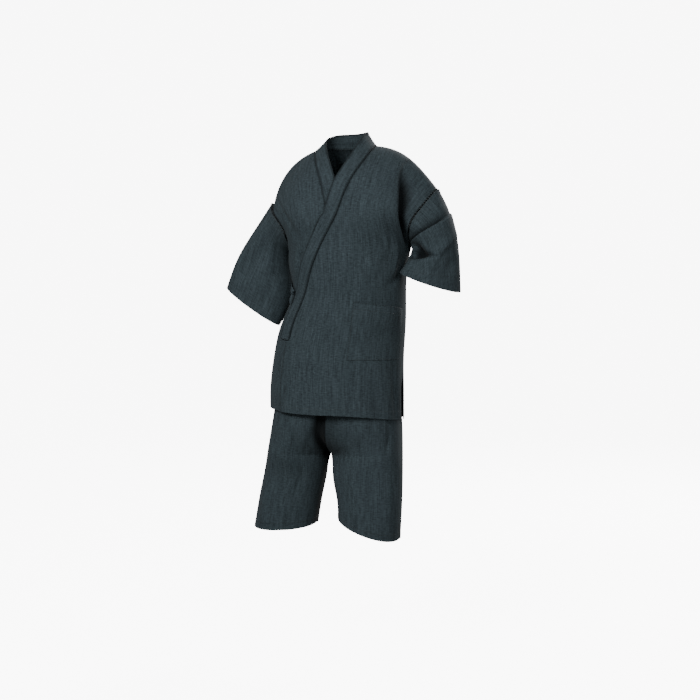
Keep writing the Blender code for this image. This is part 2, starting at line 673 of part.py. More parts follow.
def leg_rows(table, sign):
    """Control points of the front and the back sections of one leg, hem first."""
    front, back = [], []
    for x0, yf, yb, z0, x1, y1, z1, lead, corner, df, db, sag in table:
        a = math.radians(lead)
        full = lead / 90
        for rows, y, depth, way in ((front, yf, df, -1), (back, yb, db, 1)):
            start = (1 - full) * ROUND * abs(x1 - x0) + full * depth * 4 / 3
            end = corner * depth
            p0, p3 = np.array((x0, y, z0)), np.array((x1, y1, z1))
            p1 = p0 + start * np.array((sign * math.cos(a), way * math.sin(a), 0))
            p2 = p3 + end * np.array((0, way, 0))
            p1[2] -= sag
            p2[2] -= sag
            rows.append((p0, p1, p2, p3))
    return np.array(front), np.array(back)


def leg_surface(rows):
    """A leg panel's surface: u from its inner to its outer edge, v along its rows."""
    knots = np.concatenate([[0], np.cumsum(np.linalg.norm(np.diff(rows[:, 3], axis=0), axis=1))])

    def surface(u, v):
        u, v = np.broadcast_arrays(np.asarray(u, float), np.asarray(v, float))
        rest = spline(knots, rows[:, 1:].reshape(len(rows), 9), v).reshape(*v.shape, 3, 3)
        inner = split_spline(knots, rows[:, 0], v, (CROTCH,))
        return bezier(np.concatenate([inner[..., None, :], rest], -2), u)

    return surface, knots


def build_shorts(shade):
    for side, table, sign in (("left", LEG_LEFT, 1), ("right", LEG_RIGHT, -1)):
        for part, rows, way in zip(("front", "back"), leg_rows(table, sign), (1, -1)):
            surface, knots = leg_surface(rows)
            v = np.concatenate([np.linspace(0, knots[CROTCH], 8), np.linspace(knots[CROTCH], knots[-1], 9)[1:]])
            inset = SEAM / 2 / LEG_GIRTH
            near = np.exp(-(((v - knots[CROTCH]) / 0.05) ** 2))
            start = inset + near * CLOTH / 2 / LEG_GIRTH
            u = start[:, None] + (1 - inset - start[:, None]) * np.linspace(0, 1, 11)[None, :]
            p, n = field(surface, u, np.repeat(v[:, None], 11, 1))
            wall(f"shorts_{part}_{side}", p, n, CLOTH, shade, flip=sign * way < 0)


def build_waistband(shade):
    low = LEG_LEFT[-1]
    angle = np.linspace(0, 2 * math.pi, 40, endpoint=False)
    mid = (LEG_LEFT[-1][4] + LEG_RIGHT[-1][4]) / 2
    half = (LEG_LEFT[-1][4] - LEG_RIGHT[-1][4]) / 2
    grid = np.zeros((3, 40, 3))
    for i, z in enumerate((low[3] + 0.0011, low[3] + 0.018, low[3] + 0.036)):
        grid[i, :, 0] = mid + half * np.sin(angle)
        grid[i, :, 1] = np.where(np.cos(angle) > 0, low[1] - low[5], low[5] - low[2]) * np.cos(angle) + low[5]
        grid[i, :, 2] = z
    n = ring_normals(grid)
    wall("waistband", grid, n, 0.003, shade, ring=True)


def main():
    for ob in list(bpy.data.objects):
        bpy.data.objects.remove(ob)
    cloth = (0.035, 0.045, 0.048)
    build_fronts(cloth)
    build_backs(cloth)
    build_collar(cloth)
    build_pocket(cloth)
    build_ties(cloth)
    build_laces(cloth)
    build_sleeves(cloth)
    build_shorts(cloth)
    build_waistband(cloth)


main()
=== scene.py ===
import math

import bpy
import numpy as np
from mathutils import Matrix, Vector


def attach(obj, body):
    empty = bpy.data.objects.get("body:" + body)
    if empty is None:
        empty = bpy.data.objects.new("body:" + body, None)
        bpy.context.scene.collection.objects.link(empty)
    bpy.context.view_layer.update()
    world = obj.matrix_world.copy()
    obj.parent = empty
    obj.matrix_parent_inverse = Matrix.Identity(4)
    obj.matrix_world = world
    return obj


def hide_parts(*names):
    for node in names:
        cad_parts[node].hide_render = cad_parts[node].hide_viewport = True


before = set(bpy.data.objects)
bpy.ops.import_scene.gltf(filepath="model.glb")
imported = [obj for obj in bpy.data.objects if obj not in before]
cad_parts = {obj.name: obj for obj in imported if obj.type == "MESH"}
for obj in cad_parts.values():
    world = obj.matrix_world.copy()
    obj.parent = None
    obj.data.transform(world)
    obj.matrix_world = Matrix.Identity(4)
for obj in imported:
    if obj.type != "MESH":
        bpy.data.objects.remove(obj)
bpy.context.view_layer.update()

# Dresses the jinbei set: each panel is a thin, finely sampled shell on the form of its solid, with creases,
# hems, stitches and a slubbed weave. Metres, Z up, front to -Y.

SEAM_AND_PAINTED_SHADE = (0.12, 0.13, 0.14, 1)  # colour that sewn lines and painted shade in deep folds multiply the cloth by, at full strength
SEWN = 0.68  # share of that on a sewn line
CLOTH_DARK = (0.0068, 0.0104, 0.0124)
CLOTH_LIGHT = (0.0305, 0.0430, 0.0495)
WEAVE = (
    # noise,     across, along,  detail, rough, shift
    ("warp", 0.0030, 0.052, 2.0, 0.6, 0.0),
    ("broad", 0.0080, 0.110, 1.0, 0.5, 3.0),
    ("slub", 0.0110, 0.0032, 2.0, 0.6, 7.0),
    ("patch", 0.060, 0.090, 2.0, 0.5, 11.0),
    ("crinkle", 0.0028, 0.0090, 2.0, 0.6, 5.0),
)
WEAVE_TONE = (("warp", 0.40), ("broad", 0.14), ("slub", 0.42), ("patch", 0.04))
WEAVE_HEIGHT = (("warp", 0.5), ("slub", 0.45), ("crinkle", 0.6))

# Studio
FLOOR = -1.47
WHITE = 8.0  # brightness of the backdrop
AMBIENT = 0.42  # light from all round
AIM = Vector((0, 0, -0.5))  # where the lights point
LIGHTS = (
    # name,  place,              size, power
    ("key", (-1.1, -4.1, 1.7), 1.8, 285),
    ("fill", (2.6, -3.4, 0.6), 2.2, 75),
    ("rear", (1.5, 4.2, 2.0), 2.0, 340),
)
ROOM = (
    # distance from the middle, height above the floor
    (0.0, 0.0), (4.0, 0.0), (7.0, 0.0), (8.2, 0.5), (9.0, 1.6),
    (9.3, 3.5), (8.6, 6.5), (6.5, 9.0), (3.5, 10.4), (0.0, 10.9),
)
CAMERA_TURN = 15  # degrees round to the wearer's left
CAMERA_FAR = 5
CAMERA_HEIGHT = -0.35
CAMERA_LENS = 88.06
CAMERA_SIDE = 0.0175  # how far the view's middle lies to the right of the origin
CAMERA_LOOK = -0.584  # height of the view's middle

# Sizes of the cut, as in the solids
SEAM = 0.0002  # gap between two pieces that are sewn together
LAYER = 0.0055  # how far the outer front lies over the under front
QUARTER = 0.26  # cloth from the centre of a panel to its side seam
LACE_GAP = 0.0052  # open gap between the body and a sleeve
ARM_GAP = 0.0009  # gap left where the seam is folded close under the arm
ROUND = 0.55  # how far a weft curve holds its direction, as a share of its reach
SLEEVE_PROUD = 0.006  # how far the right sleeve's head stands off the body at the top
WALL = 0.0016  # wall of a solid panel
CLOTH = 0.0012  # thickness of one layer of cloth
BAND = 0.0030  # thickness of the folded collar
HEM = 0.022  # turned hem of the jacket and the cuffs
HEM_STITCH = 0.0205  # its stitches, from the edge
HEAD_HEM = 0.010  # turned edge of a sleeve's head
HEAD_STITCH = 0.0093
SLIT_HEM = 0.012
SLIT_STITCH = {"front": 0.011, "back": 0.009}
LEG_HEM = 0.020
LEG_STITCH = 0.0185
CUT_FULL = 1.1  # cloth to a metre across a body panel, for the weave

# Jacket rings below the armhole, hem first
RINGS = (
    # front,  left,   right,  back,   mid,    seam,  left_x, right_x, front_y, back_y
    (-0.764, -0.783, -0.752, -0.767, -0.020, 0.005, 0.176, -0.221, -0.150, 0.148),
    (-0.700, -0.700, -0.694, -0.694, -0.020, 0.005, 0.176, -0.221, -0.150, 0.146),
    (-0.600, -0.600, -0.600, -0.600, -0.014, 0.005, 0.176, -0.210, -0.147, 0.140),
    (-0.500, -0.500, -0.500, -0.500, 0.000, 0.006, 0.182, -0.184, -0.142, 0.130),
    (-0.410, -0.410, -0.410, -0.412, 0.010, 0.008, 0.182, -0.150, -0.138, 0.130),
    (-0.335, -0.335, -0.345, -0.342, 0.008, 0.010, 0.186, -0.163, -0.137, 0.136),
    (-0.272, -0.277, -0.298, -0.280, 0.004, 0.014, 0.197, -0.166, -0.136, 0.140),
)

# Jacket sections over the shoulder, from the front armpit to the back one
YOKE = (
    # mid,               left armhole,             turn, dip, right armhole,            turn, dip
    ((0.000, -0.134, -0.190), (0.214, -0.068, -0.215), 50, 35, (-0.169, -0.055, -0.226), 65, 40),
    ((0.000, -0.112, -0.100), (0.247, -0.040, -0.158), 15, 50, (-0.203, -0.030, -0.185), 20, 70),
    ((0.000, -0.060, -0.034), (0.265, -0.010, -0.128), 5, 52, (-0.214, 0.000, -0.163), 0, 78),
    ((0.000, 0.020, 0.012), (0.272, 0.022, -0.117), 0, 52, (-0.217, 0.026, -0.157), 0, 80),
    ((0.000, 0.078, 0.002), (0.268, 0.055, -0.130), -10, 50, (-0.214, 0.055, -0.168), -10, 78),
    ((0.000, 0.122, -0.090), (0.250, 0.088, -0.165), -25, 45, (-0.203, 0.088, -0.195), -35, 60),
    ((0.000, 0.140, -0.190), (0.222, 0.085, -0.225), -60, 25, (-0.178, 0.080, -0.240), -65, 30),
)
RIDGE = len(RINGS) + 3  # the section that runs along the shoulder
NAPE = RIDGE + 1  # the section that the back of the neck is cut to

# Where the collar is sewn to the outer front, as (section, across)
COLLAR_SEAM = (
    (2.45, -0.43),
    (3.0, -0.43),
    (4.0, -0.370),
    (5.0, -0.240),
    (6.0, -0.115),
    (7.0, 0.045),
    (8.0, 0.128),
    (9.0, 0.205),
    (10.0, 0.245),
)
STAND = 0.0010  # gap under the standing part of the collar
GROOVE = 0.0013  # depth of the dent beside the collar's seam
GROOVE_FROM = 0.0016  # how far the dent lies from the seam
GROOVE_WIDE = 0.0024
COLLAR_FLAT = 0.043  # the collar's usual width
COLLAR_STITCH = 0.0024  # its stitches, from each edge
COLLAR_CROWN = 0.0007  # how far the folded band is rounded
COLLAR_DENT = 0.0006  # depth of the dent along its stitches
COLLAR_WIDTH = ((2.45, 0.043), (5.0, 0.041), (7.0, 0.039), (8.5, 0.040), (10.0, 0.045))
FRONT_EDGE = -0.50  # free edge of a front, below the collar
NECK_LEFT = 0.245  # how far the cut of the neck reaches across, on each side
NECK_RIGHT = 0.285
SLIT_TOP = 1.65  # section at which a side slit ends
SLIT = 0.080  # how far a front is drawn in beside its slit
BACK_SLIT = 0.12  # share of that on a back

# Standing part of the collar: from its seam to its free edge, at each station round the neck
NECK = (
    (0.00, (-0.034, -0.006, 0.036)),
    (0.25, (-0.014, -0.010, 0.044)),
    (0.50, (0.000, -0.010, 0.043)),
    (0.75, (0.020, -0.012, 0.036)),
    (1.00, (0.036, -0.010, 0.028)),
)

# Sleeve rings below the armhole: middle, then from it to the inner edge and to the front
SLEEVE_LEFT = (
    (0.2590, 0.010, -0.243), (-0.055, -0.013, -0.047), (0.014, -0.078, -0.006),
    (0.269, 0.000, -0.308), (-0.066, -0.030, -0.006), (0.020, -0.062, -0.010),
    (0.264, -0.028, -0.385), (-0.074, -0.058, 0.025), (0.028, -0.038, -0.016),
)
SLEEVE_RIGHT = (
    (-0.224, 0.042, -0.266), (0.050, 0.020, -0.042), (0.010, -0.066, 0.000),
    (-0.253, 0.045, -0.362), (0.083, 0.015, -0.046), (0.012, -0.056, 0.000),
    (-0.288, 0.028, -0.458), (0.083, -0.003, -0.055), (0.010, -0.048, -0.008),
)

# Shorts, hem first
LEG_LEFT = (
    # in_x,  in_front, in_back, in_z,  out_x, out_y,  out_z,  lead, full, front, back, sag
    (-0.006, -0.030, -0.030, -1.063, 0.174, -0.030, -1.126, 90, 1.33, 0.090, 0.090, 0.020),
    (-0.014, -0.022, -0.022, -1.000, 0.178, -0.022, -1.010, 90, 1.33, 0.092, 0.092, 0.006),
    (-0.028, -0.012, -0.012, -0.938, 0.177, -0.012, -0.930, 88, 1.30, 0.094, 0.098, 0.0),
    (-0.0388, 0.002, 0.002, -0.890, 0.174, -0.005, -0.880, 66, 1.15, 0.114, 0.119, 0.0),
    (-0.0337, -0.078, 0.088, -0.853, 0.172, 0.000, -0.835, 26, 1.00, 0.108, 0.112, 0.0),
    (-0.024, -0.120, 0.124, -0.785, 0.169, 0.003, -0.775, 8, 0.83, 0.122, 0.117, 0.0),
    (-0.018, -0.128, 0.125, -0.700, 0.162, 0.005, -0.700, 0, 0.65, 0.130, 0.120, 0.0),
    (-0.014, -0.125, 0.118, -0.620, 0.156, 0.005, -0.620, 0, 0.58, 0.126, 0.114, 0.0),
    (-0.004, -0.112, 0.108, -0.546, 0.146, 0.005, -0.546, 0, 0.55, 0.112, 0.108, 0.0),
)
LEG_RIGHT = (
    (-0.092, 0.030, 0.030, -1.096, -0.280, 0.030, -1.106, 90, 1.33, 0.090, 0.090, 0.016),
    (-0.073, 0.025, 0.025, -1.000, -0.259, 0.025, -1.000, 90, 1.33, 0.092, 0.092, 0.0),
    (-0.059, 0.020, 0.020, -0.938, -0.243, 0.020, -0.930, 88, 1.30, 0.094, 0.097, 0.0),
    (-0.0412, 0.002, 0.002, -0.890, -0.231, 0.012, -0.880, 66, 1.15, 0.113, 0.118, 0.0),
    (-0.0343, -0.078, 0.088, -0.853, -0.221, 0.008, -0.835, 26, 1.00, 0.108, 0.112, 0.0),
    (-0.024, -0.120, 0.124, -0.785, -0.210, 0.005, -0.775, 8, 0.80, 0.122, 0.116, 0.0),
    (-0.018, -0.128, 0.125, -0.700, -0.200, 0.005, -0.700, 0, 0.65, 0.130, 0.120, 0.0),
    (-0.014, -0.125, 0.118, -0.620, -0.184, 0.005, -0.620, 0, 0.58, 0.126, 0.114, 0.0),
    (-0.004, -0.112, 0.108, -0.546, -0.154, 0.005, -0.546, 0, 0.55, 0.112, 0.108, 0.0),
)
LEG_GIRTH = 0.22  # cloth across one leg panel
CROTCH = 3  # row of the shorts at which the legs meet
CROTCH_REACH = 0.05  # length over which they draw together there
INNER_SHADE = 0.026  # width of the painted shade beside the inner seams
GATHER = 0.0025  # depth of the gathers below the waistband
GATHER_PITCH = 0.021
WAIST_GAP = 0.0011  # between the shorts and the waistband
WAIST_TALL = 0.035
WAIST_THICK = 0.0028
WAIST_GATHER = 0.0012

# Corners of the pocket as (section, across): low and inner, top and inner, top and outer
POCKET_LOW = (1.93, 0.20)
POCKET_TOP = (3.66, 0.20)
POCKET_FAR = (3.42, 0.86)
POCKET_GAPE = 0.014  # how far its mouth stands open
POCKET_WIDE = 0.155
POCKET_LONG = 0.15
POCKET_HEM = 0.020
POCKET_STITCH = 0.0185  # stitches below the mouth
POCKET_AIR = 0.0002  # gap between the pocket and the front

# Whipped lace of the armhole seams
LACE_START = 0.17  # share of the way round, up from the armpit, where it begins
LACE_PITCH = 0.009  # length of one turn
LACE_BITE = 0.0032  # how far it reaches past each edge
LACE_RISE = 0.0016
LACE_RADIUS = 0.00055

# The tie's strap as (section, across), from the side seam to the knot
STRAP = ((4.28, -0.965), (4.22, -0.87), (4.10, -0.76), (3.99, -0.665))
TIE_WIDE = 0.014
TIE_THICK = 0.0018
STRAP_RISE = 0.0032  # the strap over the front at its sewn end
STRAP_LIFT = 0.0065  # how much further it stands off at its knot
KNOT_AHEAD = 0.0077  # the knot's middle past the strap's end
KNOT_ROUND = 0.0052  # its radius and half its length
KNOT_HALF = 0.0082
TIE_DROP = 0.0087  # top of the short end below the knot's middle
TIE_FALL = np.array((-0.006, 0.002, -0.026))  # from the top of the short end to its foot
STRAP_TURN = np.array((0.35, -1.0, 0.0))  # which way the strap's flat is turned at its knot

# Creases, in thousandths. Each row: a bent line of places in the cloth, half width on its left and on its
# right, and its rise at its start, middle and end. A width may be a pair, for the line's two ends.
FRONT_CREASES = (
    # line of (across from the middle, height), left, right, rises
    (((166, -45), (174, -88), (202, -140), (222, -192), (227, -236), (224, -268)), 24, 8, (-5, -33, -30)),
    (((192, -51), (218, -94), (231, -132)), 12, 12, (-1, -3.5, 0)),
    (((138, -150), (145, -223), (135, -310)), 14, 7, (0, 3, 1)),
    (((151, -150), (159, -223), (149, -317)), 6, 14, (0, -4, -1)),
    (((170, -262), (180, -320), (176, -376)), 9, 12, (1, 4.5, 1)),
    (((214, -318), (190, -372), (128, -408)), 12, 14, (-4, -6, -1)),
    (((90, -300), (98, -350), (105, -400)), 16, 12, (0, 3, 1)),
    (((60, -310), (56, -378), (52, -432)), 10, 12, (0, -3.5, -2)),
    (((-88, -250), (-93, -291), (-120, -315), (-129, -350), (-160, -388)), 8, 10, (-2, -6, -4)),
    (((-110, -262), (-126, -305), (-150, -350)), 10, 8, (0, 3, 2)),
    (((-208, -195), (-148, -239), (-95, -268)), 12, 12, (-6, -4, 0)),
    (((-125, -44), (-136, -60), (-147, -76)), 7, 7, (-2, -4, -1)),
    (((-109, -73), (-116, -85), (-124, -98)), 6, 6, (-1, -3, 0)),
    (((-214, -156), (-219, -170), (-222, -186)), 10, 10, (-2, -5, -1)),
    (((61, -596), (60, -679), (48, -756)), 14, 6, (0, 3.5, 3)),
    (((75, -596), (74, -679), (62, -756)), 6, 16, (-1, -4, -3)),
    (((-72, -437), (-54, -522), (-47, -590)), 10, 14, (0, -2.5, 0)),
    (((-17, -450), (-6, -564), (-4, -690)), 16, 9, (0, -4.2, -2)),
    (((-86, -579), (-90, -666), (-95, -765)), 12, 14, (0, 3, 3)),
    (((-40, -600), (-43, -680), (-40, -770)), 14, 12, (0, -3, -3)),
    (((118, -625), (130, -698), (143, -770)), 12, 14, (0, -3.5, -3)),
    (((188, -610), (197, -700), (202, -772)), 12, 10, (-1, -4, -2)),
    (((-190, -440), (-205, -560), (-200, -700)), 14, 14, (0, -4, -1)),
)
BACK_CREASES = (
    (((222, -190), (196, -275), (178, -365)), 12, 14, (-16, -16, 0)),
    (((-214, -205), (-190, -285), (-168, -380)), 14, 12, (-14.4, -17.6, 0)),
    (((128, -55), (148, -110), (150, -180)), 12, 14, (0, -8, -1.6)),
    (((-138, -60), (-150, -125), (-144, -190)), 14, 10, (0, -6.4, -1.6)),
    (((98, -210), (80, -330), (92, -450)), 16, 20, (0, -8, -1.6)),
    (((-88, -230), (-76, -340), (-94, -440)), 18, 14, (0, -7.2, -1.6)),
    (((150, -320), (132, -400), (140, -470)), 14, 10, (0, 6.4, 0)),
    (((52, -520), (46, -650), (54, -772)), 16, 12, (0, 6.4, 4.8)),
    (((-58, -540), (-70, -660), (-62, -772)), 14, 16, (0, -6.4, -4.8)),
    (((142, -570), (156, -680), (150, -775)), 12, 16, (0, -6.4, -4.8)),
    (((-150, -560), (-162, -680), (-156, -770)), 16, 12, (0, 6.4, 4.8)),
)

# On a sleeve and a leg panel the places are shares of the way across and along it.
SLEEVE_GIRTH = 0.46
SLEEVE_LONG = 0.30
SLEEVE_LEFT_CREASES = (
    # line of (share round from the armpit, share along), left, right, rises
    (((433, 479), (345, 500), (262, 600), (190, 870)), 20, 9, (4, 6.5, 2)),
    (((400, 620), (340, 720), (300, 860)), 16, 16, (0, -5, -3)),
    (((248, 604), (150, 510), (60, 400)), (4, 30), (3, 24), (-9, -30, -36)),
    (((70, 200), (105, 310), (130, 430)), 12, 20, (-8, -12, -10)),
    (((120, 640), (180, 700), (210, 820)), 14, 12, (3, 4, 1)),
    (((610, 150), (650, 420), (620, 800)), 14, 18, (-2, -6, -2)),
    (((760, 220), (700, 480), (730, 780)), 12, 14, (0, 6, 2)),
    (((900, 300), (820, 450), (780, 600)), 12, 14, (-12, -10, -1)),
)
SLEEVE_RIGHT_CREASES = (
    (((345, 110), (292, 319), (312, 521), (354, 740)), 13, 15, (-2, -8, -4)),
    (((255, 120), (235, 380), (250, 700)), 14, 12, (0, 4, 2)),
    (((225, 525), (185, 520), (145, 500)), 6, 7, (0, -4.5, -2)),
    (((371, 353), (420, 571), (440, 824)), 14, 14, (0, 4, 2)),
    (((210, 640), (200, 800), (215, 960)), 10, 12, (0, -3, -3)),
    (((610, 120), (660, 430), (640, 820)), 14, 18, (-2, -7, -3)),
    (((760, 160), (720, 450), (740, 780)), 12, 14, (0, 5, 2)),
    (((880, 100), (840, 350), (850, 600)), 12, 14, (-8, -8, -1)),
)
# Break of the left sleeve over the bent arm: the lower cloth stands over the upper along this line.
BREAK_LINE = ((0.06, 0.10), (0.108, 0.130), (0.225, 0.212), (0.321, 0.244), (0.446, 0.256), (0.52, 0.26))
BREAK_OVER = 0.0034  # how far the lower cloth stands out
BREAK_UNDER = 0.0090  # how far the upper cloth is drawn in

LEG_WIDE = 0.28  # cloth across one leg panel at its crease table
INSIDE_SHADE = {"left": 0.35, "right": 1.0}  # how much painted shade each leg gets beside the other
LEG_CREASES = {
    # line of (share from the inner edge, height above the hem), left, right, rises
    "front_left": (
        (((300, 360), (455, 203), (435, 70)), 20, 16, (1, 4, 3)),
        (((705, 350), (728, 290), (735, 220)), 12, 10, (-3, -5, 0)),
        (((160, 260), (270, 172), (315, 90)), 18, 14, (-3, -4, -1)),
        (((500, 330), (620, 199), (595, 60)), 12, 14, (0, -3, -2)),
        (((790, 250), (800, 140), (770, 20)), 14, 12, (0, 3, 2)),
    ),
    "front_right": (
        (((330, 240), (350, 150), (378, 60)), 12, 10, (0, -4.5, -1)),
        (((540, 170), (515, 90), (480, 5)), 10, 12, (0, -4, -4)),
        (((355, 330), (450, 215), (440, 110)), 14, 14, (0, 3.5, 1)),
        (((62, 345), (45, 290), (18, 235)), 16, 13, (-16, -22, -18)),
        (((50, 350), (150, 285), (290, 225)), 10, 14, (-4, -4, 0)),
        (((600, 320), (720, 173), (690, 30)), 18, 16, (0, 3.5, 3)),
        (((820, 300), (850, 180), (830, 40)), 14, 12, (0, -4, -2)),
    ),
    "back_left": (
        (((60, 370), (220, 300), (420, 285)), 12, 14, (-6, -6, 0)),
        (((80, 300), (220, 200), (300, 80)), 14, 12, (-4, -5, -1)),
        (((500, 330), (560, 180), (540, 20)), 16, 14, (0, 4, 3)),
        (((760, 300), (740, 160), (770, 10)), 12, 14, (0, -4, -3)),
    ),
    "back_right": (
        (((60, 360), (240, 310), (400, 300)), 14, 12, (-6, -5, 0)),
        (((90, 290), (200, 180), (260, 60)), 12, 14, (-4, -5, -2)),
        (((440, 320), (520, 170), (500, 10)), 14, 16, (0, 4, 3)),
        (((720, 320), (690, 170), (730, 20)), 14, 12, (0, -4.5, -2)),
    ),
}


def spline(knots, values, at):
    """A cubic curve through the rows of values, with straight ends."""
    x = np.asarray(knots, float)
    y = np.asarray(values, float).reshape(len(x), -1)
    h = np.diff(x)
    matrix = np.eye(len(x))
    right = np.zeros_like(y)
    for i in range(1, len(x) - 1):
        matrix[i, i - 1 : i + 2] = h[i - 1], 2 * (h[i - 1] + h[i]), h[i]
        right[i] = 6 * ((y[i + 1] - y[i]) / h[i] - (y[i] - y[i - 1]) / h[i - 1])
    bend = np.linalg.solve(matrix, right)
    at = np.asarray(at, float)
    k = np.clip(np.searchsorted(x, at, side="right") - 1, 0, len(x) - 2)
    a = ((x[k + 1] - at) / h[k])[..., None]
    b = 1 - a
    s = (h[k] ** 2)[..., None] / 6
    return a * y[k] + b * y[k + 1] + s * ((a**3 - a) * bend[k] + (b**3 - b) * bend[k + 1])


def smooth(x):
    """Eases from 0 to 1."""
    x = np.clip(x, 0, 1)
    return x * x * (3 - 2 * x)


def unit(v):
    return v / (np.linalg.norm(v, axis=-1, keepdims=True) + 1e-12)


def bezier(points, b):
    """Points of cubic curves with control points (..., 4, 3)."""
    b = b[..., None]
    weights = ((1 - b) ** 3, 3 * b * (1 - b) ** 2, 3 * b * b * (1 - b), b**3)
    return sum(w * points[..., i, :] for i, w in enumerate(weights))


def bell(distance, width):
    """1 at no distance, falling softly to 0."""
    return np.exp(-((distance / width) ** 2))


def circle(count):
    """Evenly spaced angles of one full turn."""
    return np.linspace(0, 2 * math.pi, count, endpoint=False)


def lengths(line):
    """Distance along a line of points from its start."""
    return np.concatenate([[0], np.cumsum(np.linalg.norm(np.diff(line, axis=0), axis=1))])


def nearest(values, at):
    """Index of the value that lies nearest."""
    return int(np.argmin(np.abs(values - at)))


def section(mid, end, turn, dip, sign):
    """Four control points from a middle point to an edge, where the cloth turns back and dips."""
    mid, end = np.array(mid), np.array(end)
    t, d = math.radians(turn), math.radians(dip)
    way = np.array((sign * math.cos(t) * math.cos(d), math.sin(t) * math.cos(d), -math.sin(d)))
    start = np.array((sign * ROUND * abs(end[0] - mid[0]), 0, 0))
    back = way * ROUND * max(abs(float(np.dot(end - mid, way))), 0.02)
    return mid, mid + start, end - back, end


def body_rows():
    """Control points of the jacket's sections, front hem to back hem, for the left and the right half."""
    rows = {}
    for name, sign in (("left", 1), ("right", -1)):
        ring = []
        for front, zl, zr, back, mid, seam, xl, xr, yf, yb in RINGS:
            end = (xl, seam, zl) if sign > 0 else (xr, seam, zr)
            for z, y, turn in ((front, yf, 90), (back, yb, -90)):
                ring.append(section((mid, y, z), end, turn, 0, sign))
        yoke = []
        for mid, el, tl, dl, er, tr, dr in YOKE:
            end, turn, dip = (el, tl, dl) if sign > 0 else (er, tr, dr)
            yoke.append(section(mid, end, turn, dip, sign))
        rows[name] = np.array(ring[0::2] + yoke + ring[1::2][::-1])
    return rows


BODY = body_rows()
FIRST = len(RINGS) - 1
LAST = FIRST + len(YOKE) + 1


def body_knots():
    """Distance along the cloth at each section, alike down both sides of the side seams."""
    gaps = []
    for i in range(len(BODY["left"]) - 1):
        ends = [np.linalg.norm(BODY[s][i + 1][3] - BODY[s][i][3]) for s in ("left", "right")]
        mids = np.linalg.norm(BODY["left"][i + 1][0] - BODY["left"][i][0])
        inside = FIRST <= i < LAST
        gaps.append((sum(ends) + mids) / 3 if inside else sum(ends) / 2)
    return np.concatenate([[0], np.cumsum(gaps)])


KNOTS = body_knots()


def at_section(i):
    """Distance along the cloth of a section, whole or between two."""
    return np.interp(i, np.arange(len(KNOTS)), KNOTS)


def split_spline(knots, values, at, breaks):
    """A spline with a corner at each of the breaks."""
    cuts = [0, *breaks, len(knots) - 1]
    out = np.zeros((*np.shape(at), values.shape[1]))
    for i, (a, b) in enumerate(zip(cuts, cuts[1:])):
        part = (at >= knots[a]) if i else np.ones(np.shape(at), bool)
        part &= (at < knots[b]) if i < len(cuts) - 2 else True
        out[part] = spline(knots[a : b + 1], values[a : b + 1], at[part])
    return out


def body(w, t):
    """The jacket's cloth. w runs from -1 at the right edge to 1 at the left, t from front to back hem."""
    w, t = np.broadcast_arrays(np.asarray(w, float), np.asarray(t, float))
    halves = []
    for name in ("left", "right"):
        rows = BODY[name]
        inner = spline(KNOTS, rows[:, :3].reshape(len(rows), 9), t).reshape(*t.shape, 3, 3)
        edge = split_spline(KNOTS, rows[:, 3], t, (FIRST, LAST))
        halves.append(bezier(np.concatenate([inner, edge[..., None, :]], -2), np.abs(w)))
    return np.where((w >= 0)[..., None], halves[0], halves[1])


def field(surface, u, v):
    """Points of a surface and its normals."""
    step = 1e-4
    du = surface(u + step, v) - surface(u - step, v)
    dv = surface(u, v + step) - surface(u, v - step)
    return surface(u, v), unit(np.cross(du, dv))


def crease(q, z, line, left, right, rises):
    """Height of one crease, soft to each side of a bent line."""
    fine = spline(np.linspace(0, 1, len(line)), line, np.linspace(0, 1, 25))
    best = np.full(np.shape(q), np.inf)
    side = np.zeros(np.shape(q))
    along = np.zeros(np.shape(q))
    for i, (a, b) in enumerate(zip(fine, fine[1:])):
        run = b - a
        k = np.clip(((q - a[0]) * run[0] + (z - a[1]) * run[1]) / (run @ run), 0, 1)
        dq, dz = q - a[0] - k * run[0], z - a[1] - k * run[1]
        gap = np.hypot(dq, dz)
        near = gap < best
        best = np.where(near, gap, best)
        side = np.where(near, run[0] * dz - run[1] * dq, side)
        along = np.where(near, (i + k) / (len(fine) - 1), along)
    blend = smooth(0.5 + side / 2e-5)
    left, right = (pair[0] + (pair[1] - pair[0]) * along for pair in (np.ones(2) * left, np.ones(2) * right))
    width = right + (left - right) * blend
    start, middle, end = rises
    size = start + (middle - start) * smooth(2 * along)
    size = np.where(along < 0.5, size, middle + (end - middle) * smooth(2 * along - 1))
    return size * bell(best, width)


def creases(table, q, z, size=(1, 1)):
    """Height of all the creases of a table. size is the panel's, where the table gives shares of it."""
    total = np.zeros(np.shape(q))
    for line, *rest in table:
        left, right, rises = (np.array(part) / 1000 for part in rest)
        total = total + crease(q, z, np.array(line) / 1000 * size, left, right, rises)
    return total


def body_at(w, t, lift=0.0):
    """The jacket's cloth with its creases, moved out by lift."""
    p, n = field(body, w, t)
    front = 1 - smooth((t - KNOTS[RIDGE] + 0.03) / 0.03)
    q = w * QUARTER
    rise = creases(FRONT_CREASES, q, p[..., 2]) * front + creases(BACK_CREASES, q, p[..., 2]) * (1 - front)
    return p + n * (rise + lift)[..., None], n


def outer(w, t):
    """How far the outer front lies over the under front: none at its side seam and at the neck."""
    return LAYER * smooth((1 - w) / 0.42) * smooth((KNOTS[RIDGE] - t) / 0.13)


def seam_line(t):
    """Across value of the collar seam of the outer front."""
    table = np.array(COLLAR_SEAM)
    return spline(at_section(table[:, 0]), table[:, 1:], t)[..., 0]


def neck_line(t):
    """Across value of the cut round the back of the neck, from 0 at the nape to 1 at the shoulder."""
    reach = KNOTS[NAPE] - KNOTS[RIDGE]
    return np.sqrt(np.clip(1 - ((t - KNOTS[RIDGE]) / reach) ** 2, 0, 1))


def widened(w, t):
    """Across value on the under front, whose neck point lies further out."""
    return w * (1 + (NECK_RIGHT / NECK_LEFT - 1) * smooth(1 - (KNOTS[RIDGE] - t) / 0.10))


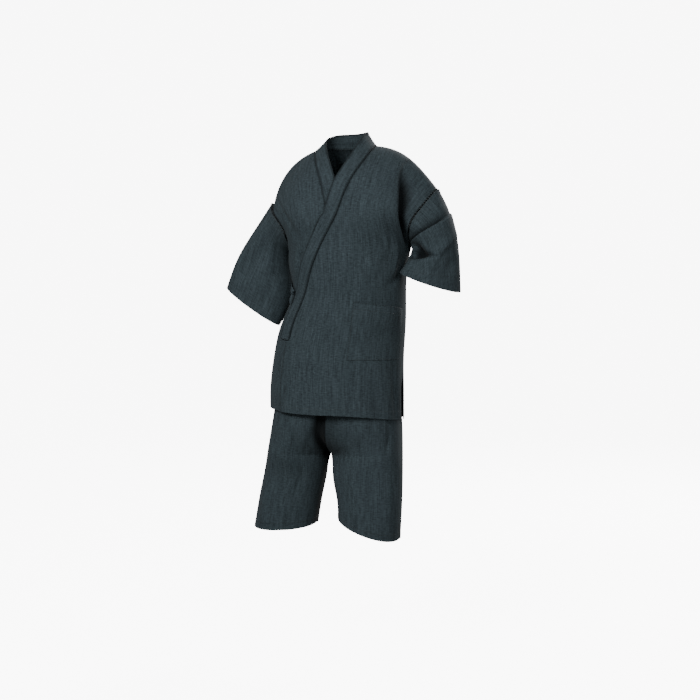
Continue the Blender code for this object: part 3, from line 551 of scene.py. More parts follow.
def below_slit(t, ease):
    """1 beside an open side slit, easing to 0 at its top."""
    return smooth((at_section(SLIT_TOP) - t) / ease)


def slit(t):
    """How much narrower a panel is beside its open side slit."""
    return SLIT * below_slit(t, 0.06)


# Shells


def grid_normals(points, ring=False):
    """Normals of a grid, from its columns to its rows."""
    du = np.roll(points, -1, 1) - np.roll(points, 1, 1) if ring else np.gradient(points, axis=1)
    return unit(np.cross(du, np.gradient(points, axis=0)))


def edge_loops(rows, cols, ring):
    """The grid's edges as loops of (row, column), the cloth on their left."""
    low = [(0, j) for j in range(cols)]
    top = [(rows - 1, j) for j in reversed(range(cols))]
    if ring:
        return [low, top]
    left = [(i, 0) for i in reversed(range(1, rows - 1))]
    right = [(i, cols - 1) for i in range(1, rows - 1)]
    return [low + right + top + left]


def quads(rows, cols, ring=False):
    """Row and column of each cell of a grid, and its four corners as indices."""
    i, j = np.meshgrid(np.arange(rows - 1), np.arange(cols if ring else cols - 1), indexing="ij")
    i, j = i.ravel(), j.ravel()
    k = (j + 1) % cols
    return i, j, np.stack([i * cols + j, i * cols + k, (i + 1) * cols + k, (i + 1) * cols + j], 1)


def shell(name, node, points, weave, thick, ring=False, seams_and_shade=0.0):
    """A thin closed wall of cloth on a grid of points, its edges rounded. weave is each point's place in
    the cloth, in metres, with one more column on a ring. The last argument is how much the colour is darkened
    at each point: a sewn line, and painted shade in a fold, beside the other leg, under the left sleeve's
    break and along the collar's edges."""
    rows, cols = points.shape[:2]
    n = grid_normals(points, ring)
    du = unit(np.roll(points, -1, 1) - np.roll(points, 1, 1) if ring else np.gradient(points, axis=1))
    dv = unit(np.gradient(points, axis=0))
    count = rows * cols
    verts = [(points + n * thick / 2).reshape(-1, 3), (points - n * thick / 2).reshape(-1, 3)]
    i, j, cells = quads(rows, cols, ring)
    spots = np.stack([np.stack(at, 1) for at in ((i, j), (i, j + 1), (i + 1, j + 1), (i + 1, j))], 1)
    faces = [cells, cells[:, ::-1] + count]
    places = [spots, spots[:, ::-1]]
    base = 2 * count
    # each point's darkening: sewn lines and painted shade
    seams_and_shade = np.zeros((rows, cols)) + seams_and_shade
    sewn = [seams_and_shade.ravel(), seams_and_shade.ravel()]
    for loop in edge_loops(rows, cols, ring):
        a, b = np.array(loop).T
        way = np.zeros((len(loop), 3))
        way -= dv[a, b] * (a == 0)[:, None]
        way += dv[a, b] * (a == rows - 1)[:, None]
        if not ring:
            way -= du[a, b] * (b == 0)[:, None]
            way += du[a, b] * (b == cols - 1)[:, None]
        verts.append(points[a, b] + unit(way) * thick * 0.45)
        sewn.append(seams_and_shade[a, b])
        here, size = a * cols + b, len(loop)
        after = np.roll(here, -1)
        rim = base + np.arange(size)
        rim_after = base + (np.arange(size) + 1) % size
        faces.append(np.stack([after, here, rim, rim_after], 1))
        faces.append(np.stack([rim_after, rim, here + count, after + count], 1))
        spot = np.stack([a, b], 1)
        spot_after = np.roll(spot, -1, 0)
        if ring:
            wrap = (spot_after[:, 1] == 0) & (a == 0)
            spot_after[wrap, 1] = cols
            wrap = (spot_after[:, 1] == cols - 1) & (spot[:, 1] == 0)
            spot[wrap, 1] = cols
        places += [np.stack([spot_after, spot, spot, spot_after], 1)] * 2
        base += size
    faces, places = np.concatenate(faces), np.concatenate(places)
    ob = mesh_piece(name, np.concatenate(verts), faces.tolist(), "cloth")
    mark = ob.data.attributes.new("Seam", "FLOAT", "POINT")
    mark.data.foreach_set("value", np.concatenate(sewn).astype(np.float32))
    flat = places.reshape(-1, 2)
    layer = ob.data.uv_layers.new(name="Weave")
    layer.data.foreach_set("uv", weave[flat[:, 0], flat[:, 1]].astype(np.float32).ravel())
    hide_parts(node)
    return ob


def add_object(name, data):
    """A new object in the scene."""
    ob = bpy.data.objects.new(name, data)
    bpy.context.scene.collection.objects.link(ob)
    return ob


def add_mesh(name, verts, faces, material):
    """A smooth mesh object."""
    mesh = bpy.data.meshes.new(name)
    mesh.from_pydata(np.asarray(verts, float).tolist(), [], faces)
    mesh.update()
    mesh.polygons.foreach_set("use_smooth", np.ones(len(mesh.polygons), bool))
    mesh.materials.append(material)
    return add_object(name, mesh)


def mesh_piece(name, verts, faces, slot):
    """A smooth mesh object that rides on the frame."""
    ob = add_mesh(name, verts, faces, MATERIALS[slot])
    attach(ob, "root")
    return ob


def sheet(points, ring=False):
    """Measures a panel's cloth along its rows and columns, and its area; nothing is kept."""
    closed = np.concatenate([points, points[:, :1]], 1) if ring else points
    across, along = run_length(closed, 1)[:, -1], run_length(closed, 0)[-1]
    a, b = closed[:-1, :-1] - closed[1:, 1:], closed[1:, :-1] - closed[:-1, 1:]
    area = 0.5 * np.linalg.norm(np.cross(a, b), axis=-1).sum()


def on_cloth(points, normals, rise=CLOTH / 2):
    """A row of places on the outer face of the cloth, for stitches."""
    return points + normals * rise, normals


def stitching(name, rows, pitch=0.0038, long=0.0028, thick=0.00042):
    """Rows of stitches as one piece. Each row is its points on the cloth and their normals."""
    along = np.array((-1.0, -0.62, 0.62, 1.0))
    size = np.array((0.35, 1.0, 1.0, 0.35))
    sink = np.array((-0.9, 0.15, 0.15, -0.9))
    angle = circle(5)
    verts, faces, base = [], [], 0
    for points, normals in rows:
        run = lengths(points)
        at = np.arange(pitch, run[-1] - pitch / 2, pitch)
        mid, n = (np.stack([np.interp(at, run, a[:, i]) for i in range(3)], 1) for a in (points, normals))
        way = unit(np.gradient(mid, axis=0))
        n = unit(n - way * np.sum(n * way, axis=1, keepdims=True))
        side = np.cross(n, way)
        ring = np.cos(angle)[:, None] * side[:, None, None] + np.sin(angle)[:, None] * n[:, None, None] * 0.8
        place = mid[:, None] + way[:, None] * (along * long / 2)[:, None]
        place = place + n[:, None] * (sink * thick)[:, None]
        grid = place[:, :, None] + ring * (size * thick)[:, None, None]
        count, rings, sides = grid.shape[:3]
        verts.append(grid.reshape(-1, 3))
        tube_faces = quads(rings, sides, True)[2]
        faces += (base + np.arange(count)[:, None, None] * rings * sides + tube_faces).reshape(-1, 4).tolist()
        first = base + np.arange(count)[:, None] * rings * sides
        faces += (first + np.arange(sides)[::-1]).tolist()
        faces += (first + (rings - 1) * sides + np.arange(sides)).tolist()
        base += count * rings * sides
    return mesh_piece(name, np.concatenate(verts), faces, "thread")


def run_length(points, axis):
    """Distance along a grid from its first row or column."""
    steps = np.linalg.norm(np.diff(points, axis=axis), axis=-1)
    zero = np.zeros_like(np.take(steps, [0], axis=axis))
    return np.cumsum(np.concatenate([zero, steps], axis=axis), axis=axis)


def hem(share, width, rise=0.0002):
    """Extra thickness of a turned hem, at a distance from the edge, with the dent of its stitch line."""
    edge = 1 - smooth((share - width) / 0.0015)
    return rise * edge - rise * bell(share - width * 0.93, 0.0012)


def sewn_line(distance, width=0.0016):
    """How dark a seam or a row of stitches is, 0 away from it."""
    return SEWN * bell(distance, width)


def side_marks(gap, t, part):
    """How dark a side is, at a distance from its edge: stitches beside the slit, and a seam above it."""
    below = below_slit(t, 0.006)
    return sewn_line(gap - SLIT_STITCH[part]) * below * 0.5 + sewn_line(gap) * (1 - below)


def painted_fold_shade(rise):
    """How much painted shade a fold gets in the cloth's colour: 1 where it is deepest."""
    return smooth((-rise - 0.005) / 0.019)


def graded(start, stop, count, share=0.7):
    """Evenly spaced values, drawn closer together at both ends."""
    x = np.linspace(0, 1, count)
    return start + (stop - start) * (x - share * np.sin(2 * math.pi * x) / (2 * math.pi))


def panel(rows, left, right, count, step=0.0):
    """Across and along values of a panel between two edges, a seam's half gap in from each."""
    u = graded(0, 1, count)[None, :]
    inset = SEAM / 2 / QUARTER
    a, b = (left + inset)[:, None], (right - inset)[:, None]
    return a + (b - a) * u + np.reshape(step, (-1, 1)) * (1 - u) ** 30, np.repeat(rows[:, None], count, 1)


def front_at(w, t, sign):
    """A front panel's cloth with its hems. sign is 1 for the outer front."""
    lift = outer(w, t) if sign > 0 else 0 * t
    low = hem(t - KNOTS[0], HEM)
    side = hem((1 - slit(t) - np.abs(w)) * QUARTER, SLIT_HEM) * below_slit(t, 0.01)
    seam = seam_line(t) if sign > 0 else -widened(seam_line(t), t)
    groove = -GROOVE * bell((w - seam) * sign * QUARTER - GROOVE_FROM, GROOVE_WIDE)
    groove = groove * smooth((t - at_section(COLLAR_SEAM[0][0])) / 0.01)
    return body_at(w, t, lift + low + side + groove)


def front_lines_and_shade(w, t, sign):
    """Sewn lines of a front: slit, side and shoulder seams, collar seam and the free edge below it, with
    painted shade in its deep creases.
    """
    start = at_section(COLLAR_SEAM[0][0])
    seam = seam_line(t) if sign > 0 else widened(seam_line(t), t)
    marks = side_marks((1 - slit(t) - sign * w) * QUARTER, t, "front")
    # a dark collar seam, widened with painted shade beside the band's edge
    marks = marks + sewn_line((sign * w - seam) * QUARTER, 0.0028) * smooth((t - start) / 0.006)
    marks = marks + sewn_line((sign * w - FRONT_EDGE) * QUARTER - 0.007) * smooth((start - t) / 0.006)
    # painted shade in the deep creases
    deep = painted_fold_shade(creases(FRONT_CREASES, w * QUARTER, body(w, t)[..., 2]))
    return np.clip(marks + deep + sewn_line(t - at_section(RIDGE)), 0, 1)


def build_fronts():
    start = at_section(COLLAR_SEAM[0][0])
    low = graded(0, start - 0.002, 74)
    rows = np.concatenate([low, graded(start, at_section(RIDGE) - SEAM / 2, 124, 0.4)])
    below = np.arange(len(rows)) < len(low)
    edge = np.where(below, COLLAR_SEAM[0][1], seam_line(rows))
    step = np.where(below, FRONT_EDGE - COLLAR_SEAM[0][1], 0)
    side = 1 - slit(rows)
    for name, sign in (("left_front", 1), ("right_front", -1)):
        inner = edge if sign > 0 else widened(edge, rows)
        w, t = panel(rows, inner, side, 120, step)
        if sign < 0:
            w = -w[:, ::-1]
        p, _ = front_at(w, t, sign)
        weave = np.stack([w * QUARTER * CUT_FULL, t], -1)
        ob = shell(name + "_cloth", name, p, weave, CLOTH, seams_and_shade=front_lines_and_shade(w, t, sign))
        sheet(p)
        foot = np.full(300, HEM_STITCH)
        across = np.linspace(FRONT_EDGE + 0.012 / QUARTER, 1 - slit(foot[0]) - 0.002 / QUARTER, 300)
        up = np.linspace(0.004, at_section(SLIT_TOP), 120)
        free = np.linspace(0.004, start - 0.004, 120)
        beside = 1 - slit(up) - SLIT_STITCH["front"] / QUARTER
        lines = ((across, foot), (beside, up), (np.full(120, FRONT_EDGE + 0.007 / QUARTER), free))
        stitching(name + "_stitches", [on_cloth(*front_at(line * sign, at, sign)) for line, at in lines])


def build_backs():
    reach = KNOTS[NAPE] - KNOTS[RIDGE]
    turn = np.linspace(0, math.pi / 2, 26)
    neck = KNOTS[RIDGE] + SEAM / 2 + (reach - SEAM / 2) * np.sin(turn)
    rows = np.concatenate([neck, graded(KNOTS[NAPE], KNOTS[-1], 140, 0.5)[1:]])
    inner = neck_line(rows)
    side = 1 - BACK_SLIT * slit(KNOTS[-1] - rows)
    for name, sign in (("back_left", 1), ("back_right", -1)):
        if sign > 0:
            w, t = panel(rows, inner * NECK_LEFT, side, 80)
        else:
            w, t = panel(rows, -side, -inner * NECK_RIGHT, 80)
        low = hem(KNOTS[-1] - t, HEM)
        p, _ = body_at(w, t, low)
        marks = side_marks((side[:, None] - np.abs(w)) * QUARTER, KNOTS[-1] - t, "back")
        marks = marks + sewn_line(w * QUARTER) + sewn_line(t - KNOTS[RIDGE])
        weave = np.stack([w * QUARTER * CUT_FULL, t], -1)
        ob = shell(name + "_cloth", name, p, weave, CLOTH, seams_and_shade=np.clip(marks, 0, 1))
        sheet(p)
        foot = np.full(200, HEM_STITCH)
        across = np.linspace(0.003 / QUARTER, 1 - BACK_SLIT * slit(foot[0]) - 0.003 / QUARTER, 200)
        up = np.linspace(0.004, at_section(SLIT_TOP), 120)
        lines = [(across, foot), (1 - BACK_SLIT * slit(up) - SLIT_STITCH["back"] / QUARTER, up)]
        if sign > 0:
            spine = np.linspace(KNOTS[-1] - KNOTS[NAPE] - 0.006, 0.004, 400)
            lines.append((np.full(400, 0.0045 / QUARTER), spine))
        stitched = [body_at(line * sign, KNOTS[-1] - at, 0 * at) for line, at in lines]
        stitching(name + "_stitches", [on_cloth(*row) for row in stitched])


def collar_half(sign, share, rows):
    """Half of the collar, from a front's lower end to the neck: lying on the body, then standing up."""
    t = np.linspace(at_section(COLLAR_SEAM[0][0]) + 0.001, KNOTS[RIDGE] - SEAM, rows)
    line = seam_line(t) - 0.0010 / QUARTER
    w = line if sign > 0 else -widened(line, t)
    widths = np.array(COLLAR_WIDTH)
    wide = spline(at_section(widths[:, 0]), widths[:, 1:], t)
    thicker = (BAND - WALL) / 2

    def lying(across, along):
        lift = outer(across, along) if sign > 0 else 0 * along
        return body_at(across, along, lift + thicker)

    p, n = lying(w, t)
    run = unit(np.gradient(p, axis=0))
    way = np.cross(n, run) * sign
    step = 1e-4
    du = (body(w + step, t) - body(w - step, t)) / (2 * step)
    dv = (body(w, t + step) - body(w, t - step)) / (2 * step)
    uu, vv, uv = (np.sum(a * b, axis=1) for a, b in ((du, du), (dv, dv), (du, dv)))
    wu, wv = np.sum(way * du, axis=1), np.sum(way * dv, axis=1)
    size = wide[:, 0] / (uu * vv - uv**2)
    across, along = (wu * vv - wv * uv) * size, (wv * uu - wu * uv) * size
    flat = np.stack([lying(w + across * s, t + along * s)[0] for s in share], 1)
    near = smooth(1 - (KNOTS[RIDGE] - t) / 0.12)[:, None]
    stand = unit(np.array(NECK[0 if sign > 0 else -1][1]))
    mixed = unit(way * (1 - near) + stand * near)
    upright = p[:, None] + mixed[:, None] * (wide * share[None, :] + STAND * near)[..., None]
    return flat * (1 - near[..., None]) + upright * near[..., None]


def collar_nape(share, count):
    """The collar's standing part round the back of the neck."""
    turn = np.linspace(-1, 1, count + 2)[1:-1]
    reach = KNOTS[NAPE] - KNOTS[RIDGE]
    along = KNOTS[RIDGE] + reach * np.cos(turn * math.pi / 2)
    size = np.where(turn < 0, NECK_LEFT, NECK_RIGHT)
    p, _ = body_at(-np.sin(turn * math.pi / 2) * size, along - SEAM / 2)
    stand = unit(spline([row[0] for row in NECK], [row[1] for row in NECK], (turn + 1) / 2))
    return p[:, None] + stand[:, None] * (COLLAR_WIDTH[-1][1] * share + STAND)[None, :, None]


def build_collar():
    share = graded(0, 1, 23)
    halves = [collar_half(sign, share, 150) for sign in (1, -1)]
    grid = np.concatenate([halves[0], collar_nape(share, 60), halves[1][::-1]])
    for _ in range(3):
        grid[1:-1] = (grid[:-2] + 2 * grid[1:-1] + grid[2:]) / 4
    inner = np.minimum(share, 1 - share) * COLLAR_FLAT
    crown = COLLAR_CROWN * (1 - np.abs(2 * share - 1) ** 6)
    crown = crown - COLLAR_DENT * sewn_line(inner - COLLAR_STITCH, 0.0011)
    grid += grid_normals(grid) * crown[None, :, None]
    run = run_length(grid, 0).mean(1, keepdims=True) + 0 * share
    weave = np.stack([share * 0.042 + 0 * run, run], -1)
    # dark lines along both edges of the band: its sewn edges, with painted shade where the free edge stands
    # over the front
    marks = sewn_line(inner - 0.0010, 0.0025)[None, :] + 0 * run
    ob = shell("collar_band", "collar", grid, weave, BAND, seams_and_shade=marks)
    sheet(grid)
    n = grid_normals(grid)
    low, high = (nearest(share * COLLAR_FLAT, at) for at in (COLLAR_STITCH, COLLAR_FLAT - COLLAR_STITCH))
    rows = [on_cloth(grid[2:-2, j], n[2:-2, j], BAND / 2) for j in (low, high)]
    rows += [on_cloth(grid[i, 1:-1], n[i, 1:-1], BAND / 2) for i in (2, len(grid) - 3)]
    stitching("collar_stitches", rows)


def build_pocket():
    u, v = np.meshgrid(graded(0, 1, 60), graded(0, 1, 64))
    low = at_section(POCKET_LOW[0])
    top = at_section(POCKET_TOP[0]) + (at_section(POCKET_FAR[0]) - at_section(POCKET_TOP[0])) * u
    w = POCKET_LOW[1] + (POCKET_FAR[1] - POCKET_LOW[1]) * u
    t = low + (top - low) * v
    gape = POCKET_GAPE * np.sin(math.pi * u) ** 0.8 * smooth((v - 0.35) / 0.65)
    below = (1 - v) * POCKET_LONG
    mouth = hem(below, POCKET_HEM)
    p, _ = body_at(w, t, outer(w, t) + CLOTH + POCKET_AIR + gape + mouth)
    sides = np.minimum(u, 1 - u) * POCKET_WIDE
    marks = 0.3 * sewn_line(sides - 0.0012, 0.0020) + 0.12 * sewn_line(v * POCKET_LONG - 0.0012, 0.0020)
    marks = marks + 0.6 * sewn_line(below, 0.0024)
    weave = np.stack([w * QUARTER * CUT_FULL + 0.003, t], -1)
    ob = shell("pocket_cloth", "pocket", p, weave, CLOTH, seams_and_shade=np.clip(marks, 0, 1))
    sheet(p)
    n = grid_normals(p)
    n = n * np.sign(-n[..., 1:2])
    under_mouth = nearest(below[:, 0], POCKET_STITCH)
    rows = [on_cloth(p[2:-2, j], n[2:-2, j]) for j in (2, -3)]
    rows += [on_cloth(p[i, 2:-2], n[i, 2:-2]) for i in (2, under_mouth)]
    stitching("pocket_stitches", rows)


# Sleeves


def armhole(sign, count):
    """Points of an armhole's edge from the armpit up the front and down the back."""
    share = np.linspace(0, 1, count, endpoint=False)
    dense = np.linspace(KNOTS[FIRST], KNOTS[LAST], 400)
    edge = body(np.full(400, float(sign)), dense)
    run = lengths(edge)
    t = np.interp(share * run[-1], run, dense)
    p, n = body_at(np.full(count, float(sign)), t)
    return p, n


def sleeve_rings(sign, count):
    """Rings of a sleeve from its armhole to its cuff."""
    table = SLEEVE_LEFT if sign > 0 else SLEEVE_RIGHT
    rings = [armhole(sign, count)[0]]
    angle = circle(count)[:, None]
    for mid, inner, front in zip(table[0::3], table[1::3], table[2::3]):
        rings.append(np.array(mid) + np.cos(angle) * np.array(inner) + np.sin(angle) * np.array(front))
    return rings


def sleeve_gap(count):
    """Gap to the body round the armhole: open for the lace, folded close under the arm."""
    share = np.arange(count) / count
    under = np.minimum(share, 1 - share)
    closed = WALL + ARM_GAP
    return closed + (LACE_GAP - closed) * smooth((under - 0.09) / 0.05)


def outward(ring):
    """Unit normal of the plane that a ring of points lies nearest to, away from the body."""
    n = unit(np.sum(np.cross(ring, np.roll(ring, -1, 0)), axis=0))
    return n if n[0] * ring[0, 0] > 0 else -n


def sleeve_grid(sign, cols, rows):
    """Points of a sleeve, from its gap at the armhole to its cuff."""
    rings = np.array(sleeve_rings(sign, cols))
    rings[0] += outward(rings[0]) * sleeve_gap(cols)[:, None]
    if sign < 0:
        top = (1 - np.cos(np.arange(cols) / cols * 2 * math.pi)) / 2
        rings[0] += unit(rings[0] - rings[0].mean(0)) * (SLEEVE_PROUD * top**2)[:, None]
    grid = np.zeros((rows, cols, 3))
    for j in range(cols):
        knots = lengths(rings[:, j])
        grid[:, j] = spline(knots, rings[:, j], graded(0, knots[-1], rows, 0.5))
    return grid


def break_rise(share, along):
    """Rise beside the left sleeve's break: drawn in above it, standing out below, none at the back."""
    table = np.array(BREAK_LINE)
    line = spline(table[:, 0], table[:, 1:], np.clip(share, table[0, 0], table[-1, 0]))[..., 0]
    gap = (along - line) * SLEEVE_LONG
    side = smooth(0.5 + gap / 0.0045)
    under = -BREAK_UNDER * np.exp(-((np.abs(gap) / 0.016) ** 1.4))
    under = under * (0.15 + 0.85 * smooth((0.47 - share) / 0.14))
    over = BREAK_OVER * np.exp(-np.abs(gap) / 0.035)
    reach = smooth((share - table[0, 0] + 0.03) / 0.06) * smooth((table[-1, 0] + 0.12 - share) / 0.12)
    return (under * (1 - side) + over * side) * reach


def sleeve_rise(sign, share, along):
    """Creases of a sleeve over its places round and along."""
    table = SLEEVE_LEFT_CREASES if sign > 0 else SLEEVE_RIGHT_CREASES
    size = (SLEEVE_GIRTH, SLEEVE_LONG)
    rise = creases(table, share * SLEEVE_GIRTH, along * SLEEVE_LONG, size)
    if sign > 0:
        rise = rise + break_rise(share, along)
    return rise * smooth(along / 0.10)


def build_sleeves():
    cols, rows = 132, 110
    for name, sign in (("sleeve_left", 1), ("sleeve_right", -1)):
        grid = sleeve_grid(sign, cols, rows)
        n = grid_normals(grid, True)
        out = 1 if np.sum(n * (grid - grid.mean(1, keepdims=True))) > 0 else -1
        run = run_length(grid, 0)
        share = np.arange(cols)[None, :] / cols + np.zeros((rows, 1))
        rise = hem(run[-1:] - run, HEM) + hem(run, HEAD_HEM)
        places = graded(0, 1, rows, 0.5)[:, None] + 0 * share
        rise = rise + sleeve_rise(sign, share, places)
        marks = sewn_line(np.minimum(share, 1 - share) * SLEEVE_GIRTH)
        # painted shade above the break, where the upper cloth is drawn in
        if sign > 0:
            marks = marks + np.clip(-break_rise(share, places) / BREAK_UNDER, 0, 1)
        # painted shade in the deep creases
        marks = marks + painted_fold_shade(sleeve_rise(sign, share, places))
        grid = grid + n * out * rise[..., None]
        round_ = np.concatenate([run_length(grid, 1), np.full((rows, 1), 0.0)], 1)
        girth = round_[:, -2].mean() * cols / (cols - 1)
        share = np.linspace(0, 1, cols + 1)[None, :] * girth + np.zeros((rows, 1))
        along = np.concatenate([run, run[:, :1]], 1)
        weave = np.stack([share, along], -1)
        ob = shell(name + "_cloth", name, grid, weave, CLOTH, ring=True, seams_and_shade=np.clip(marks, 0, 1))
        sheet(grid, ring=True)
        n = grid_normals(grid, True) * out
        rows_at = [nearest(run[:, 0], at) for at in (HEAD_STITCH, run[-1, 0] - HEM_STITCH)]
        looped = [(np.concatenate([a[i], a[i, :1]]) for a in (grid, n)) for i in rows_at]
        stitching(name + "_stitches", [on_cloth(*row) for row in looped])


# Shorts


def leg_rows(table, sign):
    """Control points of the front and the back sections of one leg, hem first."""
    front, back = [], []
    for x0, yf, yb, z0, x1, y1, z1, lead, corner, df, db, sag in table:
        a = math.radians(lead)
        full = lead / 90
        for rows, y, depth, way in ((front, yf, df, -1), (back, yb, db, 1)):
            start = (1 - full) * ROUND * abs(x1 - x0) + full * depth * 4 / 3
            p0, p3 = np.array((x0, y, z0)), np.array((x1, y1, z1))
            p1 = p0 + start * np.array((sign * math.cos(a), way * math.sin(a), 0))
            p2 = p3 + corner * depth * np.array((0, way, 0))
            p1[2] -= sag
            p2[2] -= sag
            rows.append((p0, p1, p2, p3))
    return np.array(front), np.array(back)


def leg_surface(rows):
    """A leg panel's surface: u from its inner to its outer edge, v along its rows."""
    knots = lengths(rows[:, 3])

    def surface(u, v):
        u, v = np.broadcast_arrays(np.asarray(u, float), np.asarray(v, float))
        rest = spline(knots, rows[:, 1:].reshape(len(rows), 9), v).reshape(*v.shape, 3, 3)
        inner = split_spline(knots, rows[:, 0], v, (CROTCH,))
        return bezier(np.concatenate([inner[..., None, :], rest], -2), u)

    return surface, knots


def build_shorts():
    cols = 64
    for side, table, sign in (("left", LEG_LEFT, 1), ("right", LEG_RIGHT, -1)):
        for part, rows, way in zip(("front", "back"), leg_rows(table, sign), (1, -1)):
            surface, knots = leg_surface(rows)
            v = np.concatenate([graded(0, knots[CROTCH], 70), np.linspace(knots[CROTCH], knots[-1], 70)[1:]])
            inset = SEAM / 2 / LEG_GIRTH
            near = bell(v - knots[CROTCH], CROTCH_REACH)
            start = inset + near * WALL / 2 / LEG_GIRTH
            u = start[:, None] + (1 - inset - start[:, None]) * graded(0, 1, cols)[None, :]
            v2 = np.repeat(v[:, None], cols, 1)
            p, n = field(surface, u, v2)
            out = sign * way
            folds = creases(LEG_CREASES[f"{part}_{side}"], u * LEG_WIDE, v2, (LEG_WIDE, 1))
            gather = GATHER * np.sin(u * LEG_WIDE * 2 * math.pi / GATHER_PITCH + 2 * np.sin(u * 7))
            rise = hem(v2, LEG_HEM, 0.0004) + folds + gather * smooth((v2 - 0.42) / 0.12)
            p = p + n * out * rise[..., None]
            run = run_length(p, 1)
            weave = np.stack([run[:, -1:] - run + (0.4 if way > 0 else 0.8), v2], -1)
            name = f"shorts_{part}_{side}"
            ends = np.minimum(u, 1 - u) * LEG_WIDE
            marks = 0.5 * sewn_line(v2 - LEG_STITCH) + sewn_line(ends - 0.0005, 0.0018)
            # painted shade on the inner side, where the other leg shades it, and in the deep folds
            marks = marks + INSIDE_SHADE[side] * bell(u * LEG_WIDE, INNER_SHADE)
            marks = np.clip(marks + painted_fold_shade(folds), 0, 1)
            ob = shell(name + "_cloth", name, p, weave, CLOTH, seams_and_shade=marks)
            sheet(p)
            low = int(np.searchsorted(v, LEG_STITCH))
            face = grid_normals(p)
            face = face * np.sign(np.sum(face * n * out, axis=-1, keepdims=True))
            sewn = [on_cloth(p[low, 1:-1], face[low, 1:-1])]
            if way > 0:
                sewn.append(on_cloth(p[2:-2, -3], face[2:-2, -3]))
            stitching(name + "_stitches", sewn)


def build_waistband():
    cols, rows = 200, 14
    low = LEG_LEFT[-1]
    angle = circle(cols)
    left, right = low[4], LEG_RIGHT[-1][4]
    mid, half = (left + right) / 2, (left - right) / 2
    share = np.linspace(0, 1, rows)
    grid = np.zeros((rows, cols, 3))
    grid[..., 0] = mid + half * np.sin(angle)
    grid[..., 1] = np.where(np.cos(angle) > 0, low[1] - low[5], low[5] - low[2]) * np.cos(angle) + low[5]
    grid[..., 2] = low[3] + WAIST_GAP + WAIST_TALL * share[:, None]
    n = grid_normals(grid, True)
    gather = WAIST_GATHER * np.sin(angle * 67 + 1.3 * np.sin(angle * 5)) * np.sin(math.pi * share[:, None])
    grid = grid + n * gather[..., None]
    girth = 2 * math.pi * half
    places = np.broadcast_arrays(np.linspace(0, girth, cols + 1)[None, :], 0.036 * share[:, None])
    weave = np.stack(places, -1)
    ob = shell("waistband_cloth", "waistband", grid, weave, WAIST_THICK, ring=True)
    sheet(grid, ring=True)


# Ties and laces


def tube(path, radius, sides):
    """A round cord along a path, narrowed at both ends."""
    way = unit(np.gradient(path, axis=0))
    across = unit(np.cross(way, np.array((0.12, 0.31, 0.94))))
    over = np.cross(across, way)
    angle = circle(sides)
    ring = np.cos(angle)[None, :, None] * across[:, None] + np.sin(angle)[None, :, None] * over[:, None]
    radii = np.full(len(path), radius)
    radii[0] = radii[-1] = radius * 0.5
    verts = (path[:, None] + ring * radii[:, None, None]).reshape(-1, 3)
    faces = quads(len(path), sides, True)[2][:, [0, 3, 2, 1]].tolist()
    faces.append(list(range(sides)))
    faces.append([(len(path) - 1) * sides + s for s in reversed(range(sides))])
    return verts, faces


def between(values, at):
    """Values at places between the rows of a closed loop."""
    low = np.floor(at).astype(int) % len(values)
    part = (at - np.floor(at))[:, None]
    return values[low] * (1 - part) + values[(low + 1) % len(values)] * part


def build_laces():
    """Whipped thread through both edges of each open armhole seam."""
    for name, sign in (("lace_left", 1), ("lace_right", -1)):
        cols = 600
        edge, n = armhole(sign, cols)
        head = sleeve_grid(sign, cols, 40)
        gap = head[0] - edge
        share = np.arange(cols) / cols
        open_at = np.nonzero(np.minimum(share, 1 - share) > LACE_START)[0]
        line = edge[open_at]
        run = lengths(line)
        turns = run[-1] / LACE_PITCH
        s = np.linspace(0, 1, int(turns * 14))
        at = np.interp(s * run[-1], run, open_at)
        mid = between(edge + gap / 2, at)
        half = between(np.linalg.norm(gap, axis=1, keepdims=True) / 2, at) + LACE_BITE
        phase = 2 * math.pi * turns * s[:, None]
        path = mid + unit(between(unit(gap), at)) * np.cos(phase) * half
        path += unit(between(n, at)) * np.sin(phase) * LACE_RISE
        verts, faces = tube(path, LACE_RADIUS, 6)
        ob = mesh_piece(name + "_thread", verts, faces, "lace")
        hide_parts(name)


def build_ties():
    table = np.array(STRAP)
    share = np.linspace(0, 1, 30)
    line = spline(np.linspace(0, 1, len(table)), table, share)
    rise = STRAP_RISE + STRAP_LIFT * smooth(share)
    p, n = body_at(line[:, 1], at_section(line[:, 0]), rise)
    turned = unit(n + STRAP_TURN * smooth(share)[:, None])
    across = unit(np.cross(turned, unit(np.gradient(p, axis=0))))
    strip = np.linspace(-0.5, 0.5, 9)
    belly = 0.0006 * (1 - (2 * strip) ** 4)
    grid = p[:, None] + across[:, None] * (strip * TIE_WIDE)[None, :, None]
    grid = grid + turned[:, None] * belly[None, :, None]
    run = run_length(grid, 0)
    weave = np.stack([strip[None, :] * TIE_WIDE + 0 * run, run], -1)
    ob = shell("tie_strap_cloth", "tie_strap", grid, weave, TIE_THICK)
    sheet(grid)
    end, way, out = p[-1], unit(p[-1] - p[-2]), n[-1]
    side = np.cross(out, way)
    side = side * np.sign(side[2])
    mid = end + way * KNOT_AHEAD + out * 0.0008
    verts, faces = knot_mesh(mid, way, out, side)
    ob = mesh_piece("tie_knot_cloth", verts, faces, "cloth")
    add_weave(ob)
    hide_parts("tie_knot")
    start = mid - side * TIE_DROP
    s = np.linspace(0, 1, 22)
    mids = start + TIE_FALL * s[:, None]
    mids = mids + out * (0.002 * np.sin(math.pi * s))[:, None]
    run_way = unit(np.gradient(mids, axis=0))
    wide = unit(np.cross(np.repeat(out[None], 22, 0), run_way))
    flare = 0.0085 + 0.0035 * smooth(s * 2)
    grid = mids[:, None] + wide[:, None] * (strip[None, :] * flare[:, None])[..., None]
    grid += out * (belly * 1.3 + 0.0008 * np.sin(strip * 9))[None, :, None]
    run = run_length(grid, 0)
    weave = np.stack([strip[None, :] * 0.011 + 0 * run, run], -1)
    ob = shell("tie_end_cloth", "tie_end", grid, weave, TIE_THICK)
    sheet(grid)


